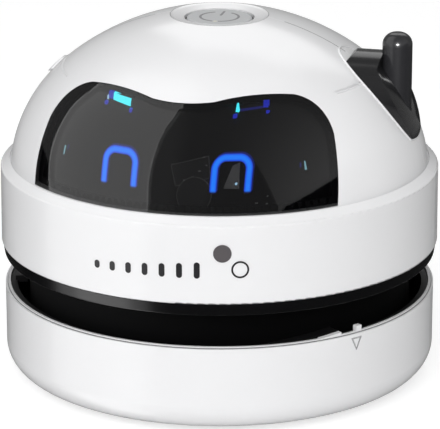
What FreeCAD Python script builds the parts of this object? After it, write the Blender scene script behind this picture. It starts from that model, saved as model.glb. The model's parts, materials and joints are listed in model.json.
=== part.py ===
import FreeCAD, Part
import Sketcher
import math
import os
import re

os.makedirs("parts", exist_ok=True)

# Desktop mini vacuum: a dome on a white ring, a black waist, and a twist-off dust bowl below.
# Millimetres, +Z up, the front towards -Y, the origin on the desk under the middle.

# Driving sizes. Radii are from the upright middle axis unless the name says otherwise.
SIZES = {
    "foot_stand": 0.8,
    "bowl_inset": 0.6,
    "bowl_high": 17.6,
    "bowl_wall": 2.3,
    "bowl_floor": 1.8,
    "bowl_round": 5.2,
    "rim_wall": 1.0,
    "rim_lip": 0.5,
    "rim_step_deep": 0.35,
    "liner_wall": 1.3,
    "liner_drop": 0.4,
    "rim_deep": 9.2,
    "shelf_thick": 1.2,
    "shelf_lap": 1.9,
    "inlet_radius": 10.0,
    "inlet_draft": 0.8,
    "inlet_wall": 1.4,
    "inlet_collar": 1.0,
    "inlet_collar_high": 0.8,
    "inlet_gap": 1.4,
    "brush_away": 3.0,
    "brush_wide": 4.5,
    "brush_sink": 0.9,
    "brush_base_thick": 1.1,
    "bristle_radius": 0.55,
    "bristle_clear": 0.3,
    "pad_radius": 4.0,
    "pad_inset": 12.4,
    "pad_sink": 0.6,
    "seal_thick": 0.6,
    "seal_clear": 0.2,
    "waist_gap": 6.4,
    "band_inset": 0.2,
    "band_taper": 0.3,
    "band_high": 2.4,
    "neck_inset": 4.9,
    "neck_wall": 1.6,
    "deck_rise": 1.2,
    "deck_thick": 1.8,
    "spigot_share": 0.229,
    "spigot_wall": 1.6,
    "joint_gap": 0.1,
    "slot_wide": 2.0,
    "slot_high": 4.4,
    "lug_wide": 5.0,
    "lug_high": 1.4,
    "lug_gap": 0.5,
    "lug_rise": 1.1,
    "rib_thick": 1.4,
    "rib_play": 0.5,
    "rib_gap": 0.5,
    "rib_root": 0.4,
    "cam_high": 0.5,
    "twist_drop": 3.0,
    "tab_wide": 1.3,
    "tab_high": 1.0,
    "tab_root": 0.3,
    "tab_reach": 0.5,
    "mark_wide": 2.6,
    "mark_high": 2.8,
    "mark_line": 0.32,
    "mark_side_share": 1.6,
    "mark_tip_share": 2.2,
    "mark_deep": 0.25,
    "filter_gap": 0.35,
    "filter_wall": 2.6,
    "filter_high": 4.4,
    "filter_floor": 1.0,
    "filter_spoke": 2.0,
    "fleece_high": 2.4,
    "key_wide": 2.4,
    "key_deep": 1.2,
    "key_gap": 0.3,
    "shroud_rise": 5.6,
    "shroud_thick": 1.2,
    "shroud_eye": 12.0,
    "shroud_lip": 0.9,
    "post_radius": 2.5,
    "post_inset": 6.5,
    "fan_clear": 3.5,
    "fan_gap": 0.8,
    "fan_plate": 1.2,
    "fan_blade": 1.0,
    "fan_hub": 3.5,
    "fan_root": 9.1,
    "fan_root_share": 0.4,
    "fan_tip_share": 0.3,
    "shaft_radius": 1.0,
    "bearing_gap": 0.05,
    "screw_radius": 1.0,
    "screw_head": 2.1,
    "screw_head_high": 1.3,
    "screw_bite": 5.0,
    "pilot_gap": 0.05,
    "motor_share": 0.273,
    "motor_top_gap": 3.9,
    "motor_shell": 0.8,
    "motor_boss": 4.5,
    "motor_boss_high": 1.4,
    "motor_cap_high": 2.0,
    "magnet_thick": 1.8,
    "armature_gap": 0.5,
    "armature_end": 3.0,
    "damper_thick": 1.0,
    "damper_high": 7.0,
    "cradle_wall": 1.6,
    "cradle_high": 9.0,
    "cradle_foot": 2.0,
    "cradle_ear": 3.0,
    "cradle_ear_out": 2.4,
    "cell_share": 0.16,
    "cell_end_gap": 1.0,
    "cell_gap": 1.2,
    "cell_lift": 1.4,
    "tray_wall": 1.4,
    "tray_high": 7.5,
    "contact_thick": 0.5,
    "ring_radius": 44.0,
    "ring_draft": 0.1,
    "ring_high": 15.7,
    "ring_wall": 2.6,
    "ring_round": 0.5,
    "ring_lip_share": 0.7,
    "ring_lip_rise_share": 0.15,
    "ledge_rise": 1.2,
    "groove_wide": 0.25,
    "groove_deep": 0.5,
    "dome_inset": 1.94,
    "dome_high": 33.67,
    "dome_sunk": 2.67,
    "shoulder_share": 0.8554,
    "dome_wall": 2.2,
    "tongue_share": 0.255,
    "seam_gap": 0.1,
    "shell_post_radius": 3.0,
    "shell_post_inset": 12.5,
    "shell_post_depth": 9.0,
    "dish_radius": 9.73,
    "dish_deep": 0.55,
    "bezel_gap": 0.1,
    "bezel_high": 2.6,
    "button_radius": 6.55,
    "button_clear": 0.42,
    "button_thick": 1.7,
    "button_flange": 1.2,
    "button_flange_high": 1.0,
    "button_flange_clear": 0.3,
    "button_stem": 2.0,
    "button_travel": 1.2,
    "press_gap": 0.1,
    "plunger_wide": 3.0,
    "plunger_proud": 2.0,
    "plunger_deep": 2.0,
    "plunger_gap": 0.1,
    "switch_wide": 8.0,
    "switch_high": 5.5,
    "switch_wall": 1.0,
    "board_thick": 1.2,
    "board_radius": 19.0,
    "board_post_circle": 15.0,
    "board_post_radius": 2.2,
    "lens_thick": 1.5,
    "lens_gap": 0.12,
    "lens_foot": 0.55,
    "visor_foot_share": 0.7133,
    "visor_side_share": 0.6686,
    "visor_side_rise_share": 0.373,
    "visor_side_round": 37.9,
    "visor_peak_half_share": 0.4715,
    "visor_peak_rise_share": 0.5827,
    "visor_peak_share": 0.25,
    "visor_corner_round": 12.2,
    "visor_brow_half_share": 0.1448,
    "visor_brow_rise_share": 0.5699,
    "visor_brow_round": 36.2,
    "visor_dip_round": 59.5,
    "gasket_wide": 1.2,
    "mask_margin": 1.2,
    "mask_thick": 1.2,
    "mask_gap": 0.05,
    "eye_spread": 10.9,
    "eye_rise": 3.6,
    "eye_half": 3.85,
    "eye_high": 7.1,
    "eye_stroke": 1.4,
    "eye_round": 2.75,
    "guide_gap": 0.25,
    "guide_clear": 0.08,
    "light_board_inset": 17.06,
    "light_board_margin": 4.75,
    "light_board_rise": 1.6,
    "light_board_high": 10.6,
    "led_wide": 2.8,
    "led_thick": 1.4,
    "pipe_inset": 6.53,
    "pipe_drop": 2.52,
    "pipe_wide": 5.4,
    "pipe_high": 1.2,
    "standoff_inset": 2.3,
    "standoff_rise": 4.5,
    "standoff_radius": 1.4,
    "ear_half": 8.25,
    "ear_rise_share": 0.4604,
    "ear_tip_rise_share": 0.2257,
    "ear_tip_half": 4.9,
    "ear_tip_round": 20.0,
    "ear_side_round": 11.6,
    "ear_face_inset": 8.76,
    "ear_face_drop": 2.4,
    "ear_face_round": 24.0,
    "ear_foot_inset": 1.66,
    "ear_back_inset": 15.66,
    "ear_back_cut": 2.45,
    "ear_rim": 0.8,
    "ear_sink": 0.4,
    "ear_gap": 0.05,
    "stem_radius": 2.96,
    "stem_inset": 6.2,
    "stem_foot_share": 0.3089,
    "stem_proud": 3.95,
    "stem_round": 2.4,
    "stem_gap": 0.05,
    "stem_floor": 0.5,
    "pocket_gap": 0.8,
    "pocket_drop": 2.5,
    "root_half": 3.0,
    "root_up": 1.25,
    "root_down": 5.25,
    "root_flange": 1.2,
    "root_flange_thick": 1.2,
    "root_gap": 0.1,
    "cap_half": 4.4,
    "cap_rise_share": 0.5125,
    "cap_bend": 7.4,
    "cap_crown": 0.45,
    "cap_root_half": 0.6,
    "side_groove_far": 16.0,
    "side_groove_rise_share": 0.5688,
    "side_groove_wide": 0.45,
    "side_groove_deep": 0.25,
    "socket_wide": 9.0,
    "socket_high": 3.3,
    "socket_long": 7.4,
    "socket_skin": 0.4,
    "socket_round": 1.3,
    "socket_under": 0.8,
    "socket_sink": 0.4,
    "socket_clear": 0.2,
    "tongue_wide": 6.6,
    "tongue_thick": 0.7,
    "tongue_long": 5.0,
    "charge_board_wide": 15.0,
    "charge_board_long": 9.0,
    "bracket_wide": 1.6,
    "bracket_thick": 1.4,
    "cut_over": 1.0,
}

# Sizes that follow from the ones above and a clearance, as texts.
RELATED = {
    "bowl_radius": "ring_radius - bowl_inset",
    "band_radius": "ring_radius - band_inset",
    "dome_radius": "ring_radius - dome_inset",
    "neck_radius": "bowl_radius - neck_inset",
    "shelf_rise": "bowl_high - rim_deep",
    "inlet_high": "shelf_rise - inlet_gap",
    "pad_circle": "bowl_radius - pad_inset",
    "spigot_high": "ring_high * spigot_share",
    "tongue_deep": "ring_high * tongue_share",
    "socket_rise": "spigot_high + bracket_thick + board_thick + socket_under",
    "shroud_post_circle": "neck_radius - post_inset",
    "fan_radius": "shroud_post_circle - post_radius - fan_clear",
    "motor_radius": "ring_radius * motor_share",
    "cell_radius": "ring_radius * cell_share",
    "cell_back": "motor_radius + damper_thick + cradle_wall + cell_gap + cell_radius + tray_wall / 2",
    "shell_post_side": "ring_radius - shell_post_inset",
    "shoulder_radius": "dome_high * shoulder_share",
    "visor_foot_half": "dome_radius * visor_foot_share",
    "visor_side_half": "dome_radius * visor_side_share",
    "visor_side_rise": "dome_high * visor_side_rise_share",
    "visor_peak_half": "dome_radius * visor_peak_half_share",
    "visor_peak_rise": "dome_high * visor_peak_rise_share",
    "visor_brow_half": "dome_radius * visor_brow_half_share",
    "visor_brow_rise": "dome_high * visor_brow_rise_share",
    "light_board_back": "dome_radius - light_board_inset",
    "light_board_half": "eye_spread + eye_half + light_board_margin",
    "standoff_side": "light_board_half - standoff_inset",
    "pipe_spread": "visor_peak_half - pipe_inset",
    "pipe_rise": "visor_peak_rise - pipe_drop",
    "ear_rise": "dome_high * ear_rise_share",
    "ear_top_rise": "ear_rise + ear_half",
    "ear_tip_rise": "dome_high * ear_tip_rise_share",
    "ear_face_reach": "dome_radius - ear_face_inset",
    "ear_foot_reach": "dome_radius - ear_foot_inset",
    "ear_back_reach": "dome_radius - ear_back_inset",
    "stem_reach": "dome_radius - stem_inset",
    "stem_foot_rise": "dome_high * stem_foot_share",
    "stem_top_rise": "ear_top_rise + stem_proud",
    "root_low": "ear_rise - root_down",
    "root_high": "ear_rise + root_up",
    "cap_rise": "dome_high * cap_rise_share",
    "cap_root_low": "cap_rise - cap_root_half",
    "cap_root_high": "cap_rise + cap_root_half",
    "side_groove_rise": "dome_high * side_groove_rise_share",
}

# Counts and angles in degrees.
BOWL_PADS = 3
BRISTLES = 40
EXHAUST_SLOTS = 15
EXHAUST_STEP = 11.0
LUGS = 3
LUG_START = -88.2
TWIST_ANGLE = 40.0
RIB_PAST = 4.5
RIB_STEP = 5.0
CAM_START = -50.0
CAM_SPAN = 6.5
TAB_ANGLE = -37.8
MARK_ANGLE = -39.1
FAN_BLADES = 9
FAN_SWEEP = 38.0
SHROUD_POSTS = 3
SHROUD_POST_START = 60.0
MOTOR_EARS = 3
MOTOR_EAR_START = 30.0
MAGNET_SPAN = 120.0
FILTER_SPOKES = 3
BOARD_POSTS = 3
BOARD_POST_START = -90.0

NEAR_ZERO = 1e-9

doc = FreeCAD.newDocument("DesktopVacuum")
sheet = doc.addObject("Spreadsheet::Sheet", "Sizes")
for row, (word, value) in enumerate(SIZES.items(), start=1):
    sheet.set("A%d" % row, word)
    sheet.set("B%d" % row, str(value))
    sheet.setAlias("B%d" % row, word)
doc.recompute()


def bound(text):
    """The text with its related sizes written out and each size word pointed at its cell of the sheet."""
    while any(word in RELATED for word in re.findall("[a-z_]+", text)):
        text = re.sub("[a-z_]+", lambda hit: "(%s)" % RELATED[hit[0]] if hit[0] in RELATED else hit[0], text)
    return re.sub("[a-z_]+", lambda hit: "Sizes." + hit[0] if hit[0] in SIZES else hit[0], text)


def number(text):
    """What a text of sizes comes to now."""
    worked = sheet.evalExpression(bound(text))
    return float(getattr(worked, "Value", worked))


def place(item, x="0", y="0", z="0", axis=(0, 0, 1), angle=0.0):
    """Turns an object about an axis through the origin, then moves it to a place bound to the sheet."""
    item.Placement = FreeCAD.Placement(FreeCAD.Vector(), FreeCAD.Rotation(FreeCAD.Vector(*axis), angle))
    for side, text in (("x", x), ("y", y), ("z", z)):
        item.setExpression("Placement.Base." + side, bound(text))
    return item


def around(angle, reach, side="0"):
    """The x and y texts of a point at a reach from the middle axis, shifted sideways, at an angle."""
    turn = "%.6f" % math.cos(math.radians(angle))
    rise = "%.6f" % math.sin(math.radians(angle))
    x = "(%s) * (%s) - (%s) * (%s)" % (reach, turn, side, rise)
    y = "(%s) * (%s) + (%s) * (%s)" % (reach, rise, side, turn)
    return x, y


def draw(sketch, outline):
    """Draws a closed outline of (across, up) or (across, up, radius) texts.

    A radius bends the edge that leaves its point: plus keeps the arc's centre on the left of the
    way along, minus on the right. Points and radii are bound to the sheet.
    """
    spots = [(number(point[0]), number(point[1])) for point in outline]
    edges = []
    ends = []
    for index, point in enumerate(outline):
        a = FreeCAD.Vector(spots[index][0], spots[index][1], 0)
        b = FreeCAD.Vector(spots[(index + 1) % len(spots)][0], spots[(index + 1) % len(spots)][1], 0)
        if len(point) == 2:
            edges.append(Part.LineSegment(a, b))
            ends.append((1, 2))
            continue
        radius = number(point[2])
        left = FreeCAD.Vector(a.y - b.y, b.x - a.x, 0).normalize()
        half = (b - a).Length / 2
        rise = math.sqrt(max(radius * radius - half * half, 0))
        middle = (a + b) / 2 + left * math.copysign(rise, radius)
        first, last = (a, b) if radius > 0 else (b, a)
        start = math.atan2(first.y - middle.y, first.x - middle.x)
        stop = math.atan2(last.y - middle.y, last.x - middle.x)
        circle = Part.Circle(middle, FreeCAD.Vector(0, 0, 1), abs(radius))
        edges.append(Part.ArcOfCircle(circle, start, stop))
        ends.append((1, 2) if radius > 0 else (2, 1))
    sketch.addGeometry(edges)
    for index in range(len(edges)):
        after = (index + 1) % len(edges)
        sketch.addConstraint(Sketcher.Constraint("Coincident", index, ends[index][1], after, ends[after][0]))
    for index, point in enumerate(outline):
        for kind, axis, text, value in (
            ("DistanceX", -2, point[0], spots[index][0]),
            ("DistanceY", -1, point[1], spots[index][1]),
        ):
            if abs(value) < NEAR_ZERO:
                sketch.addConstraint(Sketcher.Constraint("PointOnObject", index, ends[index][0], axis))
            elif value > 0:
                rule = sketch.addConstraint(Sketcher.Constraint(kind, -1, 1, index, ends[index][0], value))
                sketch.setExpression("Constraints[%d]" % rule, bound(text))
            else:
                rule = sketch.addConstraint(Sketcher.Constraint(kind, index, ends[index][0], -1, 1, -value))
                sketch.setExpression("Constraints[%d]" % rule, bound("-(%s)" % text))
        if len(point) == 3:
            rule = sketch.addConstraint(Sketcher.Constraint("Radius", index, abs(number(point[2]))))
            sketch.setExpression("Constraints[%d]" % rule, bound("abs(%s)" % point[2]))
    return sketch


def sketch_in(body, plane, outline):
    """A sketch of one outline on one of the body's own origin planes."""
    sketch = body.newObject("Sketcher::SketchObject", body.Name + "_outline")
    support = [item for item in body.Origin.OriginFeatures if item.Role == plane][0]
    sketch.AttachmentSupport = (support, [""])
    sketch.MapMode = "FlatFace"
    return draw(sketch, outline)


def turned(name, outline):
    """A body turned about the middle axis from an outline of (radius, height) points."""
    body = doc.addObject("PartDesign::Body", name)
    sketch = sketch_in(body, "XZ_Plane", outline)
    turn = body.newObject("PartDesign::Revolution", name + "_turn")
    turn.Profile = sketch
    turn.ReferenceAxis = (sketch, ["V_Axis"])
    turn.Angle = 360
    return body


def padded(name, plane, outline, thick):
    """A body padded by a thickness from an outline on an origin plane."""
    body = doc.addObject("PartDesign::Body", name)
    sketch = sketch_in(body, plane, outline)
    pad = body.newObject("PartDesign::Pad", name + "_pad")
    pad.Profile = sketch
    pad.setExpression("Length", bound(thick))
    return body


def solid(kind, name, **sizes):
    """A Part primitive with its sizes bound to the sheet."""
    item = doc.addObject("Part::" + kind, name)
    for word, text in sizes.items():
        item.setExpression(word, bound(text))
    return item


def cylinder(name, radius, high):
    """An upright cylinder on its base."""
    return solid("Cylinder", name, Radius=radius, Height=high)


def block(name, wide, deep, high):
    """A box with its corner on the origin."""
    return solid("Box", name, Length=wide, Width=deep, Height=high)


def block_at(name, wide, deep, high, x="0", y="0", z="0"):
    """A box centred on x and y that stands on z."""
    item = block(name, wide, deep, high)
    return place(item, "%s - (%s) / 2" % (x, wide), "%s - (%s) / 2" % (y, deep), z)


def block_around(name, angle, near, far, wide, z, high):
    """A box that runs out from one radius to another at an angle, as wide as said."""
    item = block(name, "(%s) - (%s)" % (far, near), wide, high)
    x, y = around(angle, near, "-(%s) / 2" % wide)
    return place(item, x, y, z, angle=angle)


def joined(name, items):
    """One solid of all that is given."""
    item = doc.addObject("Part::MultiFuse", name)
    item.Shapes = items
    return item


def less(name, base, tools):
    """The base with the tools cut out of it."""
    item = doc.addObject("Part::Cut", name)
    item.Base = base
    item.Tool = tools[0] if len(tools) == 1 else joined(name + "_cutters", tools)
    return item


def shared(name, first, second):
    """What two solids have in common."""
    item = doc.addObject("Part::Common", name)
    item.Base = first
    item.Tool = second
    return item


def group(name, items):
    """Like solids kept as one node."""
    item = doc.addObject("Part::Compound", name)
    item.Links = items
    return item


# Heights above the desk, worked up from the feet.
Z_BOWL = "foot_stand"
Z_RIM = Z_BOWL + " + bowl_high"
Z_SHELF = Z_BOWL + " + shelf_rise + shelf_thick"
Z_SEAL = Z_SHELF + " + seal_thick"
Z_NECK = Z_SEAL + " + seal_clear"
Z_BAND = Z_RIM + " + waist_gap"
Z_RING = Z_BAND + " + band_high"
Z_CEILING = Z_BAND + " + deck_rise"
Z_DECK = Z_CEILING + " + deck_thick"
Z_SHROUD = Z_NECK + " + shroud_rise"
Z_FAN = Z_SHROUD + " + shroud_thick + fan_gap"
Z_RING_TOP = Z_RING + " + ring_high"
Z_LEDGE = Z_RING_TOP + " + ledge_rise"
Z_SEAT = Z_LEDGE + " - groove_deep"
Z_EQUATOR = Z_RING_TOP + " - dome_sunk"
Z_VISOR = Z_SEAT + " + lens_foot"
BOWL_INNER = "bowl_radius - bowl_wall"
RIM_INNER = "bowl_radius - rim_wall"
LINER_INNER = "bowl_radius - rim_wall - joint_gap - liner_wall"
NECK_INNER = "neck_radius - neck_wall"
RING_INNER = "ring_radius - ring_wall"

# The dome's outline: a shoulder arc about a centre out from the axis, then a crown arc that
# meets it smoothly, about a centre on the axis below the widest level.
ARC_OUT = "(dome_radius - shoulder_radius)"
ARC_LESS = "(dome_high - shoulder_radius)"
ARC_SINK = "((%s ^ 2 - %s ^ 2) / (2 * %s))" % (ARC_OUT, ARC_LESS, ARC_LESS)
CROWN = "(dome_high + %s)" % ARC_SINK
SPAN = "(%s - shoulder_radius)" % CROWN


def dome_radius_at(height, inset="0"):
    """The dome's radius at a height near its foot, on the surface that lies an inset within it."""
    up = "(%s - (%s))" % (height, Z_EQUATOR)
    return "(%s + sqrt((shoulder_radius - (%s)) ^ 2 - %s ^ 2))" % (ARC_OUT, inset, up)


def dome_height_at(radius, inset="0"):
    """The dome's height near its top at a radius, on the surface that lies an inset within it."""
    return "(%s - %s + sqrt((%s - (%s)) ^ 2 - (%s) ^ 2))" % (Z_EQUATOR, ARC_SINK, CROWN, inset, radius)


# The tops of the button, of the switch plunger under its stem, and of the main board under the switch.
Z_BUTTON = dome_height_at("dish_radius") + " - dish_deep"
Z_PLUNGER = Z_BUTTON + " - button_thick - button_travel - button_flange_high - button_stem - press_gap"
Z_BOARD = Z_PLUNGER + " - plunger_proud - switch_high"

# The fan fills its chamber, the motor the height under the board, and the cell the width behind the motor.
SPIGOT_INNER = RING_INNER + " - joint_gap - spigot_wall"
TRAY_FAR = "(cell_back + cell_radius + tray_wall / 2)"
RELATED["fan_high"] = "%s - (%s) - fan_gap" % (Z_CEILING, Z_FAN)
RELATED["motor_long"] = "%s - board_thick - (%s) - motor_cap_high - motor_top_gap" % (Z_BOARD, Z_DECK)
CELL_END = "(contact_thick + joint_gap + tray_wall + cell_end_gap)"
RELATED["cell_long"] = "2 * (sqrt((%s) ^ 2 - %s ^ 2) - %s)" % (SPIGOT_INNER, TRAY_FAR, CELL_END)


def dome_bend(inset="0"):
    """Where the shoulder arc meets the crown arc, on the surface that lies an inset within the dome."""
    across = "(%s + (shoulder_radius - (%s)) * %s / %s)" % (ARC_OUT, inset, ARC_OUT, SPAN)
    up = "(%s + (shoulder_radius - (%s)) * %s / %s)" % (Z_EQUATOR, inset, ARC_SINK, SPAN)
    return across, up


def dome_layer(name, outer, inner, low, hole):
    """The layer of the dome between two insets, from a low level up to a round hole at the top."""
    outer_bend = dome_bend(outer)
    inner_bend = dome_bend(inner)
    return turned(name, [
        (dome_radius_at(low, outer), low, "shoulder_radius - (%s)" % outer),
        (outer_bend[0], outer_bend[1], "%s - (%s)" % (CROWN, outer)),
        (hole, dome_height_at(hole, outer)),
        (hole, dome_height_at(hole, inner), "-(%s - (%s))" % (CROWN, inner)),
        (inner_bend[0], inner_bend[1], "-(shoulder_radius - (%s))" % inner),
        (dome_radius_at(low, inner), low),
    ])


def dome_core(name, inset, low):
    """Everything within the dome's surface at an inset, down to a low level."""
    bend = dome_bend(inset)
    return turned(name, [
        ("0", low),
        (dome_radius_at(Z_EQUATOR, inset), low),
        (dome_radius_at(Z_EQUATOR, inset), Z_EQUATOR, "shoulder_radius - (%s)" % inset),
        (bend[0], bend[1], "%s - (%s)" % (CROWN, inset)),
        ("0", dome_height_at("0", inset)),
    ])


def screw_set(name, spots, seat, reach, down=False):
    """Like screws at (x, y) texts, their heads under the seat height, or over it when they point down."""
    items = []
    for index, (x, y) in enumerate(spots):
        shank = cylinder("%s_shank_%d" % (name, index), "screw_radius", reach)
        head = cylinder("%s_head_%d" % (name, index), "screw_head", "screw_head_high")
        if down:
            place(shank, x, y, "%s - (%s)" % (seat, reach))
            place(head, x, y, seat)
        else:
            place(shank, x, y, seat)
            place(head, x, y, "%s - screw_head_high" % seat)
        items.append(joined("%s_%d" % (name, index), [shank, head]))
    return group(name, items)


def dust_bowl():
    """The white bowl: wall, stepped rim, seal shelf and a holed floor, with a tab, a cam and a mark."""
    hole = "inlet_radius + inlet_wall + joint_gap"
    wall = turned("bowl_form", [
        (hole, Z_BOWL),
        ("inlet_radius + inlet_wall + brush_away", Z_BOWL),
        ("inlet_radius + inlet_wall + brush_away", Z_BOWL + " + brush_sink"),
        ("inlet_radius + inlet_wall + brush_away + brush_wide", Z_BOWL + " + brush_sink"),
        ("inlet_radius + inlet_wall + brush_away + brush_wide", Z_BOWL),
        ("bowl_radius - bowl_round", Z_BOWL, "bowl_round"),
        ("bowl_radius", Z_BOWL + " + bowl_round"),
        ("bowl_radius", Z_RIM + " - rim_step_deep"),
        (RIM_INNER + " + rim_lip", Z_RIM + " - rim_step_deep"),
        (RIM_INNER + " + rim_lip", Z_RIM),
        (RIM_INNER, Z_RIM),
        (RIM_INNER, Z_SHELF),
        (NECK_INNER + " - shelf_lap", Z_SHELF),
        (NECK_INNER + " - shelf_lap", Z_SHELF + " - shelf_thick"),
        (BOWL_INNER, Z_SHELF + " - shelf_thick"),
        (BOWL_INNER, Z_BOWL + " + bowl_round", "-(bowl_round - bowl_floor)"),
        (BOWL_INNER + " - (bowl_round - bowl_floor)", Z_BOWL + " + bowl_floor"),
        (hole, Z_BOWL + " + bowl_floor"),
    ])
    tab = block_around("bowl_tab", TAB_ANGLE, RIM_INNER + " - tab_reach", RIM_INNER + " + rim_lip",
                       "tab_wide", Z_RIM + " - tab_root", "tab_high + tab_root")
    cam = doc.addObject("Part::Feature", "bowl_cam")
    cam.Shape = ramp(CAM_START, CAM_SPAN, CAM_SPAN / 2, number(RIM_INNER + " - tab_reach"),
                     number(RIM_INNER + " + rim_lip"), number(Z_RIM + " - tab_root"), 0,
                     number("tab_root"), number("cam_high"))
    whole = joined("bowl_whole", [wall, tab, cam])
    cutters = [mark_cutter()]
    for index in range(BOWL_PADS):
        x, y = around(90 + index * 360 / BOWL_PADS, "pad_circle")
        recess = cylinder("pad_recess_%d" % index, "pad_radius", "pad_sink + cut_over")
        cutters.append(place(recess, x, y, Z_BOWL + " - cut_over"))
    return less("dust_bowl", whole, cutters)


def inlet_tube():
    """The suction mouth: a drafted tube that stands in the bowl's floor on a collar."""
    floor = Z_BOWL + " + bowl_floor"
    turned("inlet_tube", [
        ("inlet_radius", Z_BOWL),
        ("inlet_radius + inlet_wall", Z_BOWL),
        ("inlet_radius + inlet_wall", floor),
        ("inlet_radius + inlet_wall + inlet_collar", floor),
        ("inlet_radius + inlet_wall + inlet_collar", floor + " + inlet_collar_high"),
        ("inlet_radius + inlet_wall", floor + " + inlet_collar_high"),
        ("inlet_radius + inlet_wall - inlet_draft", Z_BOWL + " + inlet_high"),
        ("inlet_radius - inlet_draft", Z_BOWL + " + inlet_high"),
    ])


def ramp(start, span, step, near, far, low, climb, thick, swell=0.0):
    """A curved bar between two radii, from a start angle over a span, built of straight steps.

    Its underside climbs from the low level over the span, and it thickens by the swell.
    """
    wires = []
    count = max(round(span / step), 1)
    for index in range(count + 1):
        share = index / count
        angle = math.radians(start + span * share)
        out = FreeCAD.Vector(math.cos(angle), math.sin(angle), 0)
        under = low + climb * share
        over = under + thick + swell * share
        corners = [(near, under), (far, under), (far, over), (near, over)]
        spots = [out * reach + FreeCAD.Vector(0, 0, high) for reach, high in corners]
        wires.append(Part.makePolygon(spots + spots[:1]))
    return Part.makeLoft(wires, True, True)


def bowl_liner():
    """The black collar inside the bowl's rim; its ribs ride the neck's lugs, so a twist lowers the bowl."""
    collar = turned("liner_form", [
        (LINER_INNER, Z_SHELF),
        (RIM_INNER + " - joint_gap", Z_SHELF),
        (RIM_INNER + " - joint_gap", Z_RIM + " - liner_drop"),
        (LINER_INNER, Z_RIM + " - liner_drop"),
    ])
    slope = number("twist_drop") / TWIST_ANGLE
    ribs = []
    for index in range(LUGS):
        rib = doc.addObject("Part::Feature", "liner_rib_%d" % index)
        low = number(Z_NECK + " + lug_rise + lug_high + rib_play") - RIB_PAST * slope
        span = TWIST_ANGLE + 2 * RIB_PAST
        rib.Shape = ramp(LUG_START - RIB_PAST + index * 360 / LUGS, span, RIB_STEP,
                         number("neck_radius + rib_gap"), number(LINER_INNER + " + rib_root"),
                         low, span * slope, number("rib_thick"))
        ribs.append(rib)
    joined("bowl_liner", [collar] + ribs)


def mark_cutter():
    """The engraved outline of a small triangle under the tab, pointing down."""
    outer = padded("mark_outer", "XZ_Plane", [
        ("-mark_wide / 2", "0"),
        ("0", "-mark_high"),
        ("mark_wide / 2", "0"),
    ], "mark_deep + cut_over")
    inner = padded("mark_inner", "XZ_Plane", [
        ("-mark_wide / 2 + mark_side_share * mark_line", "-mark_line"),
        ("0", "-mark_high + mark_tip_share * mark_line"),
        ("mark_wide / 2 - mark_side_share * mark_line", "-mark_line"),
    ], "mark_deep + cut_over")
    outline = less("mark_outline", outer, [inner])
    x, y = around(MARK_ANGLE, "bowl_radius - mark_deep")
    return place(outline, x, y, Z_RIM + " - rim_step_deep - mark_line * 2", angle=MARK_ANGLE + 90)


def bowl_fittings():
    """The seal on the bowl's shelf, the brush round the inlet and the rubber pads."""
    turned("bowl_seal", [
        (NECK_INNER, Z_SHELF),
        (LINER_INNER + " - joint_gap", Z_SHELF),
        (LINER_INNER + " - joint_gap", Z_SEAL),
        (NECK_INNER, Z_SEAL),
    ])
    near = "inlet_radius + inlet_wall + brush_away + joint_gap"
    far = "inlet_radius + inlet_wall + brush_away + brush_wide - joint_gap"
    top = Z_BOWL + " + brush_sink"
    base = turned("brush_form", [
        (near, top + " - brush_base_thick"),
        (far, top + " - brush_base_thick"),
        (far, top),
        (near, top),
    ])
    holes = []
    tufts = []
    middle = "(inlet_radius + inlet_wall + brush_away + brush_wide / 2)"
    tuft_top = top + " - brush_base_thick / 2"
    for index in range(BRISTLES):
        side = "brush_wide / 5" if index % 2 else "-brush_wide / 5"
        x, y = around(index * 360 / BRISTLES, middle + " + " + side)
        tuft = cylinder("tuft_%d" % index, "bristle_radius", tuft_top + " - bristle_clear")
        tufts.append(place(tuft, x, y, "bristle_clear"))
        hole = cylinder("tuft_hole_%d" % index, "bristle_radius", "brush_base_thick")
        holes.append(place(hole, x, y, tuft_top + " - brush_base_thick"))
    less("brush_holder", base, holes)
    group("brush_bristles", tufts)
    pads = []
    for index in range(BOWL_PADS):
        x, y = around(90 + index * 360 / BOWL_PADS, "pad_circle")
        pad = cylinder("pad_%d" % index, "pad_radius - joint_gap", "foot_stand + pad_sink")
        pads.append(place(pad, x, y, "0"))
    group("glide_pads", pads)


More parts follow.
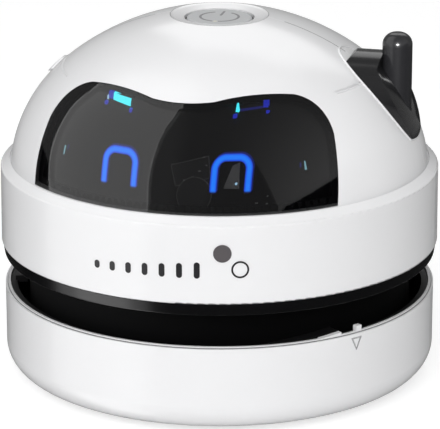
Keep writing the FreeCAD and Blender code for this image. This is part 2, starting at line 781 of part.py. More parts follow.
def waist_housing():
    """The black waist: neck, band, deck and spigot in one turned form, with lugs, posts and slots."""
    form = turned("waist_form", [
        (NECK_INNER, Z_NECK),
        ("neck_radius", Z_NECK),
        ("neck_radius", Z_BAND),
        ("band_radius - band_taper - ring_round", Z_BAND, "ring_round"),
        ("band_radius - band_taper", Z_BAND + " + ring_round"),
        ("band_radius", Z_RING),
        (RING_INNER + " - joint_gap", Z_RING),
        (RING_INNER + " - joint_gap", Z_RING + " + spigot_high"),
        (SPIGOT_INNER, Z_RING + " + spigot_high"),
        (SPIGOT_INNER, Z_DECK),
        ("motor_boss + joint_gap", Z_DECK),
        ("motor_boss + joint_gap", Z_CEILING),
        (NECK_INNER, Z_CEILING),
    ])
    extras = [form]
    for index in range(LUGS):
        angle = LUG_START + index * 360 / LUGS
        extras.append(block_around("neck_lug_%d" % index, angle, "neck_radius - neck_wall / 2",
                                   LINER_INNER + " - lug_gap", "lug_wide", Z_NECK + " + lug_rise",
                                   "lug_high"))
    for index in range(SHROUD_POSTS):
        x, y = around(SHROUD_POST_START + index * 360 / SHROUD_POSTS, "shroud_post_circle")
        high = "%s + deck_thick / 2 - (%s + shroud_thick)" % (Z_CEILING, Z_SHROUD)
        post = cylinder("shroud_post_%d" % index, "post_radius", high)
        extras.append(place(post, x, y, Z_SHROUD + " + shroud_thick"))
    extras.append(block_around("filter_key", 90, NECK_INNER + " - key_deep", NECK_INNER + " + neck_wall / 2",
                               "key_wide", Z_NECK, "shroud_rise - joint_gap"))
    whole = joined("waist_whole", extras)
    cutters = []
    slot_low = "%s - deck_thick / 2 - slot_high" % Z_BAND
    for index in range(EXHAUST_SLOTS):
        angle = 90 + (index - (EXHAUST_SLOTS - 1) / 2) * EXHAUST_STEP
        cutters.append(block_around("exhaust_slot_%d" % index, angle, NECK_INNER + " - cut_over",
                                    "neck_radius + cut_over", "slot_wide", slot_low, "slot_high"))
    for index, (x, y) in enumerate(shell_post_spots() + motor_ear_spots()):
        hole = cylinder("deck_hole_%d" % index, "screw_radius + pilot_gap", "deck_thick + 2 * cut_over")
        cutters.append(place(hole, x, y, Z_CEILING + " - cut_over"))
    for index, (x, y) in enumerate(shroud_post_spots()):
        hole = cylinder("post_pilot_%d" % index, "screw_radius + pilot_gap", "screw_bite + cut_over")
        cutters.append(place(hole, x, y, Z_SHROUD + " + shroud_thick - cut_over"))
    return less("waist_housing", whole, cutters)


def shell_post_spots():
    """Where the four long posts of the dome shells stand."""
    spots = []
    for side in ("", "-"):
        for depth in ("-", ""):
            spots.append((side + "shell_post_side", depth + "shell_post_depth"))
    return spots


def shroud_post_spots():
    """Where the posts that carry the fan shroud stand."""
    step = 360 / SHROUD_POSTS
    return [around(SHROUD_POST_START + index * step, "shroud_post_circle") for index in range(SHROUD_POSTS)]


def motor_ear_spots():
    """Where the motor cradle is screwed to the deck."""
    step = 360 / MOTOR_EARS
    reach = "motor_radius + damper_thick + cradle_wall + cradle_ear_out"
    return [around(MOTOR_EAR_START + index * step, reach) for index in range(MOTOR_EARS)]


def board_post_spots():
    """Where the main board hangs: one post on the front shell and two on the rear shell."""
    step = 360 / BOARD_POSTS
    return [around(BOARD_POST_START + index * step, "board_post_circle") for index in range(BOARD_POSTS)]


def filter_cassette():
    """The filter: a keyed ring with a spoked floor, and the fleece disc in it."""
    outer = NECK_INNER + " - filter_gap"
    inner = outer + " - filter_wall"
    low = Z_SHELF + " + seal_clear"
    ring = turned("filter_ring", [
        (inner, low),
        (outer, low),
        (outer, low + " + filter_high"),
        (inner, low + " + filter_high"),
    ])
    bars = [ring]
    for index in range(FILTER_SPOKES):
        bar = block("filter_spoke_%d" % index, "2 * (%s) + filter_wall" % inner, "filter_spoke",
                    "filter_floor")
        turn = index * 180 / FILTER_SPOKES
        x, y = around(turn, "-(%s) - filter_wall / 2" % inner, "-filter_spoke / 2")
        bars.append(place(bar, x, y, low, angle=turn))
    hub = cylinder("filter_hub", "filter_spoke * 2", "filter_floor")
    bars.append(place(hub, z=low))
    notch = block_around("filter_notch", 90, NECK_INNER + " - key_deep - key_gap", NECK_INNER + " + cut_over",
                         "key_wide + 2 * key_gap", low + " - cut_over", "filter_high + 2 * cut_over")
    less("filter_frame", joined("filter_whole", bars), [notch])
    fleece = cylinder("filter_fleece", inner + " - joint_gap", "fleece_high")
    place(fleece, z=low + " + filter_floor")


def fan_parts():
    """The shroud with its eye, its screws, and the bladed impeller on the shaft."""
    plate = turned("shroud_form", [
        ("shroud_eye", Z_SHROUD),
        (NECK_INNER + " - joint_gap", Z_SHROUD),
        (NECK_INNER + " - joint_gap", Z_SHROUD + " + shroud_thick"),
        ("shroud_eye + shroud_lip", Z_SHROUD + " + shroud_thick"),
        ("shroud_eye + shroud_lip", Z_FAN + " - fan_gap / 2"),
        ("shroud_eye", Z_FAN + " - fan_gap / 2"),
    ])
    holes = []
    for index, (x, y) in enumerate(shroud_post_spots()):
        hole = cylinder("shroud_hole_%d" % index, "screw_radius + pilot_gap", "shroud_thick + 2 * cut_over")
        holes.append(place(hole, x, y, Z_SHROUD + " - cut_over"))
    less("fan_shroud", plate, holes)
    screw_set("shroud_screws", shroud_post_spots(), Z_SHROUD, "shroud_thick + screw_bite - pilot_gap")

    top = Z_FAN + " + fan_high"
    wheel = doc.addObject("PartDesign::Body", "impeller")
    outline = sketch_in(wheel, "XZ_Plane", [
        ("shaft_radius", Z_FAN),
        ("fan_hub", Z_FAN),
        ("fan_hub", top + " - fan_plate"),
        ("fan_radius", top + " - fan_plate"),
        ("fan_radius", top),
        ("shaft_radius", top),
    ])
    turn = wheel.newObject("PartDesign::Revolution", "impeller_turn")
    turn.Profile = outline
    turn.ReferenceAxis = (outline, ["V_Axis"])
    turn.Angle = 360
    doc.recompute()
    blade = wheel.newObject("Sketcher::SketchObject", "impeller_blade_outline")
    support = [item for item in wheel.Origin.OriginFeatures if item.Role == "XY_Plane"][0]
    blade.AttachmentSupport = (support, [""])
    blade.MapMode = "FlatFace"
    blade.setExpression("AttachmentOffset.Base.z", bound(Z_FAN))
    tip_x, tip_y = around(-FAN_SWEEP, "fan_radius - fan_blade")
    draw(blade, [
        ("fan_root", "0", "-fan_radius"),
        (tip_x, tip_y),
        (tip_x + " + fan_blade", tip_y + " + fan_blade * fan_tip_share", "fan_radius"),
        ("fan_root + fan_blade * fan_root_share", "fan_blade"),
    ])
    pad = wheel.newObject("PartDesign::Pad", "impeller_blade")
    pad.Profile = blade
    pad.setExpression("Length", bound("fan_high - fan_plate / 2"))
    doc.recompute()
    ring = wheel.newObject("PartDesign::PolarPattern", "impeller_blades")
    ring.Originals = [pad]
    ring.Axis = (blade, ["N_Axis"])
    ring.Angle = 360
    ring.Occurrences = FAN_BLADES
    wheel.Tip = ring


def motor_parts():
    """The motor: a cup with a front bearing, its cap, two magnets, the armature and the shaft."""
    top = Z_DECK + " + motor_long"
    inner = "motor_radius - motor_shell"
    bore = "shaft_radius + bearing_gap"
    turned("motor_can", [
        (bore, Z_DECK + " - motor_boss_high"),
        ("motor_boss", Z_DECK + " - motor_boss_high"),
        ("motor_boss", Z_DECK),
        ("motor_radius", Z_DECK),
        ("motor_radius", top),
        (inner, top),
        (inner, Z_DECK + " + motor_shell"),
        (bore, Z_DECK + " + motor_shell"),
    ])
    turned("motor_end_cap", [
        (bore, top),
        ("motor_radius", top),
        ("motor_radius", top + " + motor_cap_high / 2"),
        ("motor_boss", top + " + motor_cap_high / 2"),
        ("motor_boss", top + " + motor_cap_high"),
        (bore, top + " + motor_cap_high"),
    ])
    low = Z_DECK + " + armature_end"
    high = "motor_long - 2 * armature_end"
    magnet_outer = inner + " - joint_gap"
    magnet_inner = magnet_outer + " - magnet_thick"
    magnets = []
    for index in range(2):
        outer = cylinder("magnet_outer_%d" % index, magnet_outer, high)
        hollow = cylinder("magnet_hollow_%d" % index, magnet_inner, high + " + 2 * cut_over")
        for item, level in ((outer, low), (hollow, low + " - cut_over")):
            item.Angle = MAGNET_SPAN if item is outer else 360
            place(item, z=level, angle=index * 180 - MAGNET_SPAN / 2)
        magnets.append(less("motor_magnet_%d" % index, outer, [hollow]))
    group("motor_magnets", magnets)
    turned("motor_armature", [
        ("shaft_radius", low),
        (magnet_inner + " - armature_gap", low),
        (magnet_inner + " - armature_gap", low + " + " + high),
        ("shaft_radius", low + " + " + high),
    ])
    shaft = cylinder("motor_shaft", "shaft_radius", "%s + motor_cap_high - (%s)" % (top, Z_FAN))
    place(shaft, z=Z_FAN)

    sleeve = "motor_radius + damper_thick"
    turned("motor_damper", [
        ("motor_radius + pilot_gap", Z_DECK + " + cradle_foot"),
        (sleeve, Z_DECK + " + cradle_foot"),
        (sleeve, Z_DECK + " + cradle_foot + damper_high"),
        ("motor_radius + pilot_gap", Z_DECK + " + cradle_foot + damper_high"),
    ])
    cup = turned("cradle_form", [
        ("motor_radius + pilot_gap", Z_DECK),
        (sleeve + " + cradle_wall", Z_DECK),
        (sleeve + " + cradle_wall", Z_DECK + " + cradle_high"),
        (sleeve + " + pilot_gap", Z_DECK + " + cradle_high"),
        (sleeve + " + pilot_gap", Z_DECK + " + cradle_foot"),
        ("motor_radius + pilot_gap", Z_DECK + " + cradle_foot"),
    ])
    ears = [cup]
    for index, (x, y) in enumerate(motor_ear_spots()):
        ear = cylinder("cradle_ear_%d" % index, "cradle_ear", "cradle_foot")
        ears.append(place(ear, x, y, Z_DECK))
    hollow = cylinder("cradle_hollow", "motor_radius + pilot_gap", "cradle_high")
    place(hollow, z=Z_DECK)
    cutters = [hollow]
    for index, (x, y) in enumerate(motor_ear_spots()):
        hole = cylinder("cradle_hole_%d" % index, "screw_radius + pilot_gap", "cradle_foot + 2 * cut_over")
        cutters.append(place(hole, x, y, Z_DECK + " - cut_over"))
    less("motor_cradle", joined("cradle_whole", ears), cutters)
    screw_set("motor_screws", motor_ear_spots(), Z_DECK + " + cradle_foot", "cradle_foot + deck_thick",
              down=True)


def battery_parts():
    """The cell lying behind the motor in its tray, with a contact plate at each end."""
    middle = Z_DECK + " + cell_lift + cell_radius"
    cell = solid("Cylinder", "battery_cell", Radius="cell_radius", Height="cell_long")
    place(cell, "-cell_long / 2", "cell_back", middle, axis=(0, 1, 0), angle=90)
    long = "cell_long + 2 * contact_thick + 2 * joint_gap + 2 * tray_wall"
    tray = block_at("tray_block", long, "2 * cell_radius + tray_wall", "tray_high", y="cell_back", z=Z_DECK)
    trough = solid("Cylinder", "tray_trough", Radius="cell_radius + joint_gap",
                   Height="cell_long + 2 * contact_thick + 2 * joint_gap")
    place(trough, "-cell_long / 2 - contact_thick - joint_gap", "cell_back", middle, axis=(0, 1, 0), angle=90)
    less("battery_tray", tray, [trough])
    plates = []
    for index, side in enumerate(("-", "")):
        plate = block("contact_%d" % index, "contact_thick", "cell_radius", "cell_radius")
        x = "%s(cell_long / 2 + contact_thick / 2 + joint_gap / 2) - contact_thick / 2" % side
        plates.append(place(plate, x, "cell_back - cell_radius / 2", middle + " - cell_radius / 2"))
    group("battery_contacts", plates)


def body_ring():
    """The white ring round the body, with the charging opening and two brackets at the back."""
    top = "ring_radius - ring_draft"
    foot = dome_radius_at(Z_SEAT)
    form = turned("ring_form", [
        (RING_INNER, Z_RING),
        ("ring_radius - ring_round", Z_RING, "ring_round"),
        ("ring_radius", Z_RING + " + ring_round"),
        (top, Z_RING_TOP + " - ring_round", "ring_round"),
        (top + " - ring_round * ring_lip_share", Z_RING_TOP + " + ring_round * ring_lip_rise_share"),
        (foot + " + groove_wide", Z_LEDGE),
        (foot + " + groove_wide", Z_SEAT),
        (RING_INNER, Z_SEAT),
    ])
    back = RING_INNER
    inner_y = "ring_radius - socket_sink - charge_board_long"
    low = socket_low() + " - board_thick - bracket_thick"
    extras = [form]
    for index, side in enumerate(("-", "")):
        x = side + "(charge_board_wide / 2 - bracket_wide)"
        extras.append(block_at("ring_bracket_%d" % index, "bracket_wide * 2", "%s - (%s) + ring_wall / 2"
                               % (back, inner_y), "bracket_thick", x,
                               "(%s + %s + ring_wall / 2) / 2" % (back, inner_y), low))
    opening = rounded_bar("socket_opening", "socket_wide + 2 * socket_clear",
                          "socket_high + 2 * socket_clear", "socket_round + socket_clear",
                          "ring_wall + 2 * cut_over")
    place(opening, "0", "ring_radius + cut_over", socket_low() + " - socket_clear")
    notch_y = "ring_radius - ring_wall / 2 - ring_wall / 3 - cut_over"
    notch = block_at("board_notch", "charge_board_wide + 2 * socket_clear", "ring_wall + cut_over",
                     "board_thick + socket_clear", "0", notch_y, socket_low() + " - board_thick")
    return less("body_ring", joined("ring_whole", extras), [opening, notch])


def socket_low():
    """The underside of the charging socket, which rests on its board."""
    return Z_RING + " + socket_rise"


def rounded_bar(name, wide, high, round_by, long):
    """A bar with rounded corners that stands on z 0, centred on x, and runs from y 0 towards -Y."""
    half = "(%s) / 2" % wide
    bend = "(%s)" % round_by
    tall = "(%s)" % high
    return padded(name, "XZ_Plane", [
        ("-%s + %s" % (half, bend), "0"),
        ("%s - %s" % (half, bend), "0", bend),
        (half, bend),
        (half, "%s - %s" % (tall, bend), bend),
        ("%s - %s" % (half, bend), tall),
        ("-%s + %s" % (half, bend), tall, bend),
        ("-%s" % half, "%s - %s" % (tall, bend)),
        ("-%s" % half, bend, bend),
    ], long)


def charge_parts():
    """The charging socket at the back, open to the rear, on its small board."""
    back = "ring_radius - socket_sink"
    low = socket_low()
    shell = rounded_bar("socket_shell", "socket_wide", "socket_high", "socket_round", "socket_long")
    place(shell, "0", back, low)
    hollow = rounded_bar("socket_hollow", "socket_wide - 2 * socket_skin", "socket_high - 2 * socket_skin",
                         "socket_round - socket_skin", "socket_long - socket_skin * 2 + cut_over")
    place(hollow, "0", back + " + cut_over", low + " + socket_skin")
    blade = block_at("socket_blade", "tongue_wide", "tongue_long + socket_skin", "tongue_thick", "0",
                     back + " - socket_long + (tongue_long + socket_skin) / 2 + socket_skin / 2",
                     low + " + (socket_high - tongue_thick) / 2")
    joined("charge_socket", [less("socket_cup", shell, [hollow]), blade])
    long = "(charge_board_long - ring_wall / 3 - joint_gap)"
    block_at("charge_board", "charge_board_wide", long, "board_thick", "0",
             "%s - charge_board_long + %s / 2" % (back, long), low + " - board_thick")


def visor_outline(inset="0"):
    """The visor seen from the front, as texts from the middle out, drawn a little smaller by an inset."""
    foot = Z_VISOR
    rim = "(%s)" % inset
    return [
        ("-(visor_foot_half - %s)" % rim, foot + " + " + rim),
        ("visor_foot_half - %s" % rim, foot + " + " + rim, "visor_side_round"),
        ("visor_side_half - %s" % rim, foot + " + visor_side_rise", "visor_corner_round - %s" % rim),
        ("visor_peak_half - %s * visor_peak_share" % rim, foot + " + visor_peak_rise - %s" % rim,
         "visor_brow_round"),
        ("visor_brow_half", foot + " + visor_brow_rise - %s" % rim, "-visor_dip_round"),
        ("-visor_brow_half", foot + " + visor_brow_rise - %s" % rim, "visor_brow_round"),
        ("-(visor_peak_half - %s * visor_peak_share)" % rim, foot + " + visor_peak_rise - %s" % rim,
         "visor_corner_round - %s" % rim),
        ("-(visor_side_half - %s)" % rim, foot + " + visor_side_rise", "visor_side_round"),
    ]


def visor_prism(name, inset="0"):
    """The visor's outline carried forward past the dome."""
    return padded(name, "XZ_Plane", visor_outline(inset), "dome_radius + cut_over")


def visor_parts():
    """The smoked lens, the gasket that holds it, and the dark mask behind."""
    top = "dish_radius + dome_wall"
    lens = dome_layer("lens_layer", "0", "lens_thick", Z_SEAT, top)
    shared("visor_lens", lens, visor_prism("lens_prism", "lens_gap"))
    under = dome_layer("gasket_layer", "lens_thick", "dome_wall", Z_SEAT, top)
    ring = shared("gasket_blank", under, visor_prism("gasket_prism", "lens_gap"))
    less("visor_gasket", ring, [visor_prism("gasket_opening", "lens_gap + gasket_wide")])
    back = dome_layer("mask_layer", "dome_wall + mask_gap", "dome_wall + mask_gap + mask_thick",
                      Z_SEAT + " - mask_margin", top)
    blank = shared("mask_blank", back, visor_prism("mask_prism", "-mask_margin"))
    cutters = [eye_arch("mask_eye_left", "-", "guide_clear"), eye_arch("mask_eye_right", "", "guide_clear")]
    for index, side in enumerate(("-", "")):
        cutters.append(status_pipe("mask_pipe_%d" % index, side, "guide_clear"))
    posts = []
    for index, side in enumerate(("-", "")):
        post = solid("Cylinder", "standoff_%d" % index, Radius="standoff_radius",
                     Height="dome_radius - light_board_back")
        place(post, side + "standoff_side", "-light_board_back", Z_VISOR + " + standoff_rise",
              axis=(1, 0, 0), angle=90)
        core = dome_core("standoff_core_%d" % index, "dome_wall + mask_gap + mask_thick / 2", Z_DECK)
        posts.append(shared("mask_post_%d" % index, post, core))
    joined("eye_mask", [less("mask_open", blank, cutters)] + posts)


def eye_arch(name, side, grow):
    """One arch-shaped eye carried forward from the light board, grown all round by a clearance."""
    half = "(eye_half + %s)" % grow
    stroke = "(eye_stroke + 2 * %s)" % grow
    end = "(%s / 2)" % stroke
    low = "(-%s)" % grow
    top = "(eye_high + %s)" % grow
    bend = "(eye_round + %s)" % grow
    inner = "(%s - %s)" % (bend, stroke)
    body = padded(name, "XZ_Plane", [
        ("-%s" % half, "%s + %s" % (low, end), end),
        ("-%s + %s" % (half, end), low, end),
        ("-%s + %s" % (half, stroke), "%s + %s" % (low, end)),
        ("-%s + %s" % (half, stroke), "%s - %s" % (top, bend), "-%s" % inner),
        ("-%s + %s" % (half, bend), "%s - %s" % (top, stroke)),
        ("%s - %s" % (half, bend), "%s - %s" % (top, stroke), "-%s" % inner),
        ("%s - %s" % (half, stroke), "%s - %s" % (top, bend)),
        ("%s - %s" % (half, stroke), "%s + %s" % (low, end), end),
        ("%s - %s" % (half, end), low, end),
        (half, "%s + %s" % (low, end)),
        (half, "%s - %s" % (top, bend), bend),
        ("%s - %s" % (half, bend), top),
        ("-%s + %s" % (half, bend), top, bend),
        ("-%s" % half, "%s - %s" % (top, bend)),
    ], "dome_radius - light_board_back")
    return place(body, side + "eye_spread", "-light_board_back - board_thick - led_thick",
                 Z_VISOR + " + eye_rise")


def status_pipe(name, side, grow):
    """One small light bar near the visor's top corner, carried forward from the mask."""
    return block_at(name, "pipe_wide + 2 * %s" % grow, "dome_radius", "pipe_high + 2 * %s" % grow,
                    side + "pipe_spread", "-dome_radius / 2 - light_board_back",
                    Z_VISOR + " + pipe_rise - " + grow)


def light_parts():
    """The two eye guides, the two status bars, their board and its light chips."""
    front = "lens_thick + guide_gap"
    for index, (name, side) in enumerate((("eye_guide_left", "-"), ("eye_guide_right", ""))):
        core = dome_core("guide_core_%d" % index, front, Z_DECK)
        shared(name, eye_arch("guide_arch_%d" % index, side, "0"), core)
    bars = []
    layer = dome_layer("pipe_layer", front, "dome_wall + mask_gap + mask_thick + guide_gap", Z_SEAT,
                       "dish_radius + dome_wall")
    for index, side in enumerate(("-", "")):
        bars.append(shared("status_bar_%d" % index, status_pipe("status_block_%d" % index, side, "0"), layer))
    group("status_bars", bars)
    low = Z_VISOR + " + light_board_rise"
    board = block_at("light_board_blank", "2 * light_board_half", "board_thick", "light_board_high", "0",
                     "-light_board_back - board_thick / 2", low)
    chips = []
    for index, side in enumerate(("-", "")):
        for spot in range(3):
            x = "%seye_spread + (%d) * (eye_half - eye_stroke / 2)" % (side, spot - 1)
            z = "%s + eye_rise + (%s) - led_wide / 2" % (Z_VISOR, "eye_high - eye_stroke / 2" if spot == 1
                                                         else "led_wide / 2")
            chips.append(block_at("chip_%d_%d" % (index, spot), "led_wide", "led_thick", "led_wide", x,
                                  "-light_board_back - board_thick - led_thick / 2", z))
    holes = []
    for index, side in enumerate(("-", "")):
        post = solid("Cylinder", "board_post_hole_%d" % index, Radius="standoff_radius + pilot_gap",
                     Height="2 * board_thick + 2 * cut_over")
        holes.append(place(post, side + "standoff_side", "-light_board_back + cut_over",
                           Z_VISOR + " + standoff_rise", axis=(1, 0, 0), angle=90))
    less("light_board", board, holes)
    group("light_chips", chips)


def dome_form(name):
    """The dome's wall with the tongue that drops into the ring."""
    foot = dome_radius_at(Z_SEAT)
    bend = dome_bend()
    inner_bend = dome_bend("dome_wall")
    hole = "dish_radius + bezel_gap"
    tongue = Z_SEAT + " - tongue_deep"
    return turned(name, [
        (RING_INNER + " - joint_gap", Z_SEAT),
        (foot, Z_SEAT, "shoulder_radius"),
        (bend[0], bend[1], CROWN),
        (hole, dome_height_at(hole)),
        (hole, dome_height_at(hole, "dome_wall"), "-(%s - dome_wall)" % CROWN),
        (inner_bend[0], inner_bend[1], "-(shoulder_radius - dome_wall)"),
        (dome_radius_at(tongue, "dome_wall"), tongue),
        (RING_INNER + " - joint_gap", tongue),
    ])


def ear_outline(inset="0"):
    """The ear seen from the side, drawn smaller by an inset: a round cup with a broad, blunt tip."""
    rise = Z_SEAT + " + ear_rise"
    tip = Z_SEAT + " + ear_tip_rise + " + inset
    return [
        ("-(ear_tip_half - %s)" % inset, tip, "ear_tip_round"),
        ("ear_tip_half - %s" % inset, tip, "ear_side_round - " + inset),
        ("ear_half - %s" % inset, rise, "ear_half - " + inset),
        ("0", "%s + ear_half - %s" % (rise, inset), "ear_half - " + inset),
        ("-(ear_half - %s)" % inset, rise, "ear_side_round - " + inset),
    ]


def ear_root(name, side, from_rise, to_rise):
    """The neck that passes through the shells' seam and the flange that locks behind them."""
    wide = "2 * root_half"
    low = Z_SEAT + " + " + from_rise
    high = "%s - %s" % (to_rise, from_rise)
    reach = side + "dome_radius / 2"
    neck = block_at(name + "_neck", "dome_radius", wide, high, reach, "0", low)
    through = dome_layer(name + "_through", "-ear_gap * 2", "dome_wall + root_gap * 2", Z_SEAT,
                         "dish_radius + dome_wall")
    wing = block_at(name + "_wing", "dome_radius", wide + " + 2 * root_flange", high + " + 2 * root_flange",
                    reach, "0", low + " - root_flange")
    behind = dome_layer(name + "_behind", "dome_wall + root_gap", "dome_wall + root_gap + root_flange_thick",
                        Z_SEAT, "dish_radius + dome_wall")
    return [shared(name + "_stalk", neck, through), shared(name + "_flange", wing, behind)]


def ear_face(name, sink="0"):
    """All that lies within the ear's outer face: upright at the top, then an arc down to the dome."""
    over = Z_SEAT + " + ear_top_rise + cut_over"
    return turned(name, [
        ("0", Z_SEAT),
        ("ear_foot_reach - " + sink, Z_SEAT),
        ("ear_foot_reach - " + sink, Z_SEAT + " + ear_tip_rise - ear_rim", "ear_face_round - " + sink),
        ("ear_face_reach - " + sink, Z_SEAT + " + ear_top_rise - ear_face_drop"),
        ("ear_face_reach - " + sink, over),
        ("0", over),
    ])


def antenna_parts():
    """The black ear on the right with its sunk face, and the round stem that stands in it."""
    long = "dome_radius + cut_over - ear_back_reach"
    blade = place(padded("ear_blade", "YZ_Plane", ear_outline(), long), "ear_back_reach")
    body = shared("ear_body", blade, ear_face("ear_face_form"))
    over = Z_SEAT + " + ear_top_rise + cut_over"
    back = padded("ear_back", "XZ_Plane", [
        ("ear_back_reach - cut_over", over),
        ("ear_back_reach - cut_over", over + " - ear_back_cut - cut_over"),
        ("ear_back_reach + ear_back_cut", over),
    ], "4 * ear_half")
    place(back, "0", "2 * ear_half")
    inner = place(padded("ear_recess_blade", "YZ_Plane", ear_outline("ear_rim"), long), "ear_back_reach")
    floor = dome_core("ear_recess_floor", "-stem_floor - stem_gap", Z_DECK)
    recess = less("ear_recess", inner, [ear_face("ear_recess_face", "ear_sink"), floor])
    pocket = cylinder("stem_pocket_form", "stem_radius + pocket_gap", "pocket_drop")
    place(pocket, "stem_reach", "0", Z_SEAT + " + ear_top_rise - pocket_drop")
    pocket = shared("stem_pocket", pocket, inner)
    bore = cylinder("ear_bore_form", "stem_radius + stem_gap", "ear_top_rise")
    place(bore, "stem_reach", "0", Z_SEAT + " + stem_foot_rise")
    bore = less("ear_bore", bore, [dome_core("ear_bore_floor", "-stem_floor", Z_DECK)])
    core = dome_core("ear_core", "-ear_gap", Z_DECK)
    shaped = less("ear_shaped", body, [back, recess, pocket, bore, core])
    joined("antenna_base", [shaped] + ear_root("ear_root", "", "root_low", "root_high"))
    top = "stem_top_rise - stem_foot_rise"
    stem = turned("stem_form", [
        ("0", "0"),
        ("stem_radius", "0"),
        ("stem_radius", "%s - stem_round" % top, "stem_round"),
        ("stem_radius - stem_round", top),
        ("0", top),
    ])
    place(stem, "stem_reach", "0", Z_SEAT + " + stem_foot_rise")
    less("antenna_stem", stem, [dome_core("stem_floor_form", "-stem_floor - stem_gap", Z_DECK)])


def left_cap():
    """The plain white ear on the left: a low, leaf-shaped pad that follows the dome."""
    blade = padded("cap_blade", "YZ_Plane", [
        ("-cap_half", Z_SEAT + " + cap_rise", "cap_bend"),
        ("cap_half", Z_SEAT + " + cap_rise", "cap_bend"),
    ], "dome_radius + cut_over")
    place(blade, "-dome_radius - cut_over", "0", "0")
    layer = dome_layer("cap_layer", "-cap_crown", "-ear_gap", Z_SEAT, "dish_radius + dome_wall")
    pad = shared("cap_pad", blade, layer)
    joined("left_ear_cap", [pad] + ear_root("cap_root", "-", "cap_root_low", "cap_root_high"))


def side_groove(name, side):
    """The shallow line that runs forward over the front shell from an ear."""
    bar = block_at(name + "_bar", "dome_radius", "side_groove_far", "side_groove_wide",
                   side + "dome_radius / 2", "-side_groove_far / 2",
                   Z_SEAT + " + side_groove_rise - side_groove_wide / 2")
    return less(name, bar, [dome_core(name + "_floor", "side_groove_deep", Z_DECK)])


def dome_shells():
    """The front and rear halves of the dome, with their posts, openings, lines and pilot holes."""
    for name, side in (("front", "-"), ("rear", "")):
        wide = "2 * dome_radius + 2 * cut_over"
        deep = "dome_radius + cut_over"
        half = block_at(name + "_half", wide, deep, "dome_high + ring_high", "0",
                        "%s((%s) / 2 + seam_gap / 2)" % (side, deep), Z_RING)
        wall = shared(name + "_wall", dome_form(name + "_form"), half)
        cutters = []
        if name == "front":
            cutters.append(visor_prism("visor_opening"))
            cutters.append(side_groove("right_side_groove", ""))
            cutters.append(side_groove("left_side_groove", "-"))
        for ear, way, root in (("right", "", "root"), ("left", "-", "cap_root")):
            slot = block_at("%s_%s_slot" % (name, ear), "dome_radius", "2 * (root_half + root_gap)",
                            "%s_high - %s_low + 2 * root_gap" % (root, root),
                            way + "(dome_radius / 2 + dish_radius)", "0",
                            "%s + %s_low - root_gap" % (Z_SEAT, root))
            cutters.append(slot)
        core = dome_core(name + "_core", "dome_wall / 2", Z_DECK)
        sticks = []
        holes = []
        for index, (x, y) in enumerate(shell_post_spots()):
            if y.startswith("-") != (name == "front"):
                continue
            post = cylinder("%s_post_%d" % (name, index), "shell_post_radius", "dome_high + ring_high")
            sticks.append(place(post, x, y, Z_DECK))
            hole = cylinder("%s_pilot_%d" % (name, index), "screw_radius + pilot_gap",
                            "screw_bite + cut_over")
            holes.append(place(hole, x, y, Z_DECK + " - cut_over"))
        for index, (x, y) in enumerate(board_post_spots()):
            if (index == 0) != (name == "front"):
                continue
            post = cylinder("%s_board_post_%d" % (name, index), "board_post_radius", "dome_high")
            sticks.append(place(post, x, y, Z_BOARD))
            hole = cylinder("%s_board_pilot_%d" % (name, index), "screw_radius + pilot_gap",
                            "screw_bite + cut_over")
            holes.append(place(hole, x, y, Z_BOARD + " - cut_over"))
        posts = shared(name + "_posts", joined(name + "_sticks", sticks), core)
        shell = joined(name + "_shell", [less(name + "_open", wall, cutters), posts])
        less("dome_%s_shell" % name, shell, holes)


def button_parts():
    """The dished bezel, the power button, the switch under it and the main board that carries it."""
    outer = "dish_radius"
    hole = "button_radius + button_clear"
    top = Z_BUTTON
    low = top + " - bezel_high"
    turned("button_bezel", [
        (hole, low),
        (outer, low),
        (outer, dome_height_at(outer)),
        (outer + " - dish_deep", dome_height_at(outer) + " - dish_deep / 3"),
        (hole, top),
    ])
    flange_top = low + " - button_flange_clear"
    flange_low = flange_top + " - button_flange_high"
    stem_low = Z_PLUNGER + " + press_gap"
    turned("power_button", [
        ("0", stem_low),
        ("button_stem", stem_low),
        ("button_stem", flange_low),
        (hole + " + button_flange", flange_low),
        (hole + " + button_flange", flange_top),
        ("button_radius", flange_top),
        ("button_radius", top + " - ring_round", "ring_round"),
        ("button_radius - ring_round", top),
        ("0", top),
    ])
    block_at("switch_plunger", "plunger_wide", "plunger_wide", "plunger_proud + plunger_deep", "0", "0",
             Z_PLUNGER + " - plunger_proud - plunger_deep")
    base = Z_BOARD
    case = block_at("switch_block", "switch_wide", "switch_wide", "switch_high", "0", "0", base)
    well = block_at("switch_well", "plunger_wide + 2 * plunger_gap", "plunger_wide + 2 * plunger_gap",
                    "switch_high - switch_wall + cut_over", "0", "0", base + " + switch_wall")
    less("switch_body", case, [well])
    disc = cylinder("board_disc", "board_radius", "board_thick")
    place(disc, z=base + " - board_thick")
    holes = []
    for index, (x, y) in enumerate(board_post_spots()):
        hole = cylinder("board_hole_%d" % index, "screw_radius + pilot_gap", "board_thick + 2 * cut_over")
        holes.append(place(hole, x, y, base + " - board_thick - cut_over"))
    less("main_board", disc, holes)
    screw_set("board_screws", board_post_spots(), base + " - board_thick",
              "board_thick + screw_bite - pilot_gap")
    screw_set("housing_screws", shell_post_spots(), Z_CEILING, "deck_thick + screw_bite - pilot_gap")


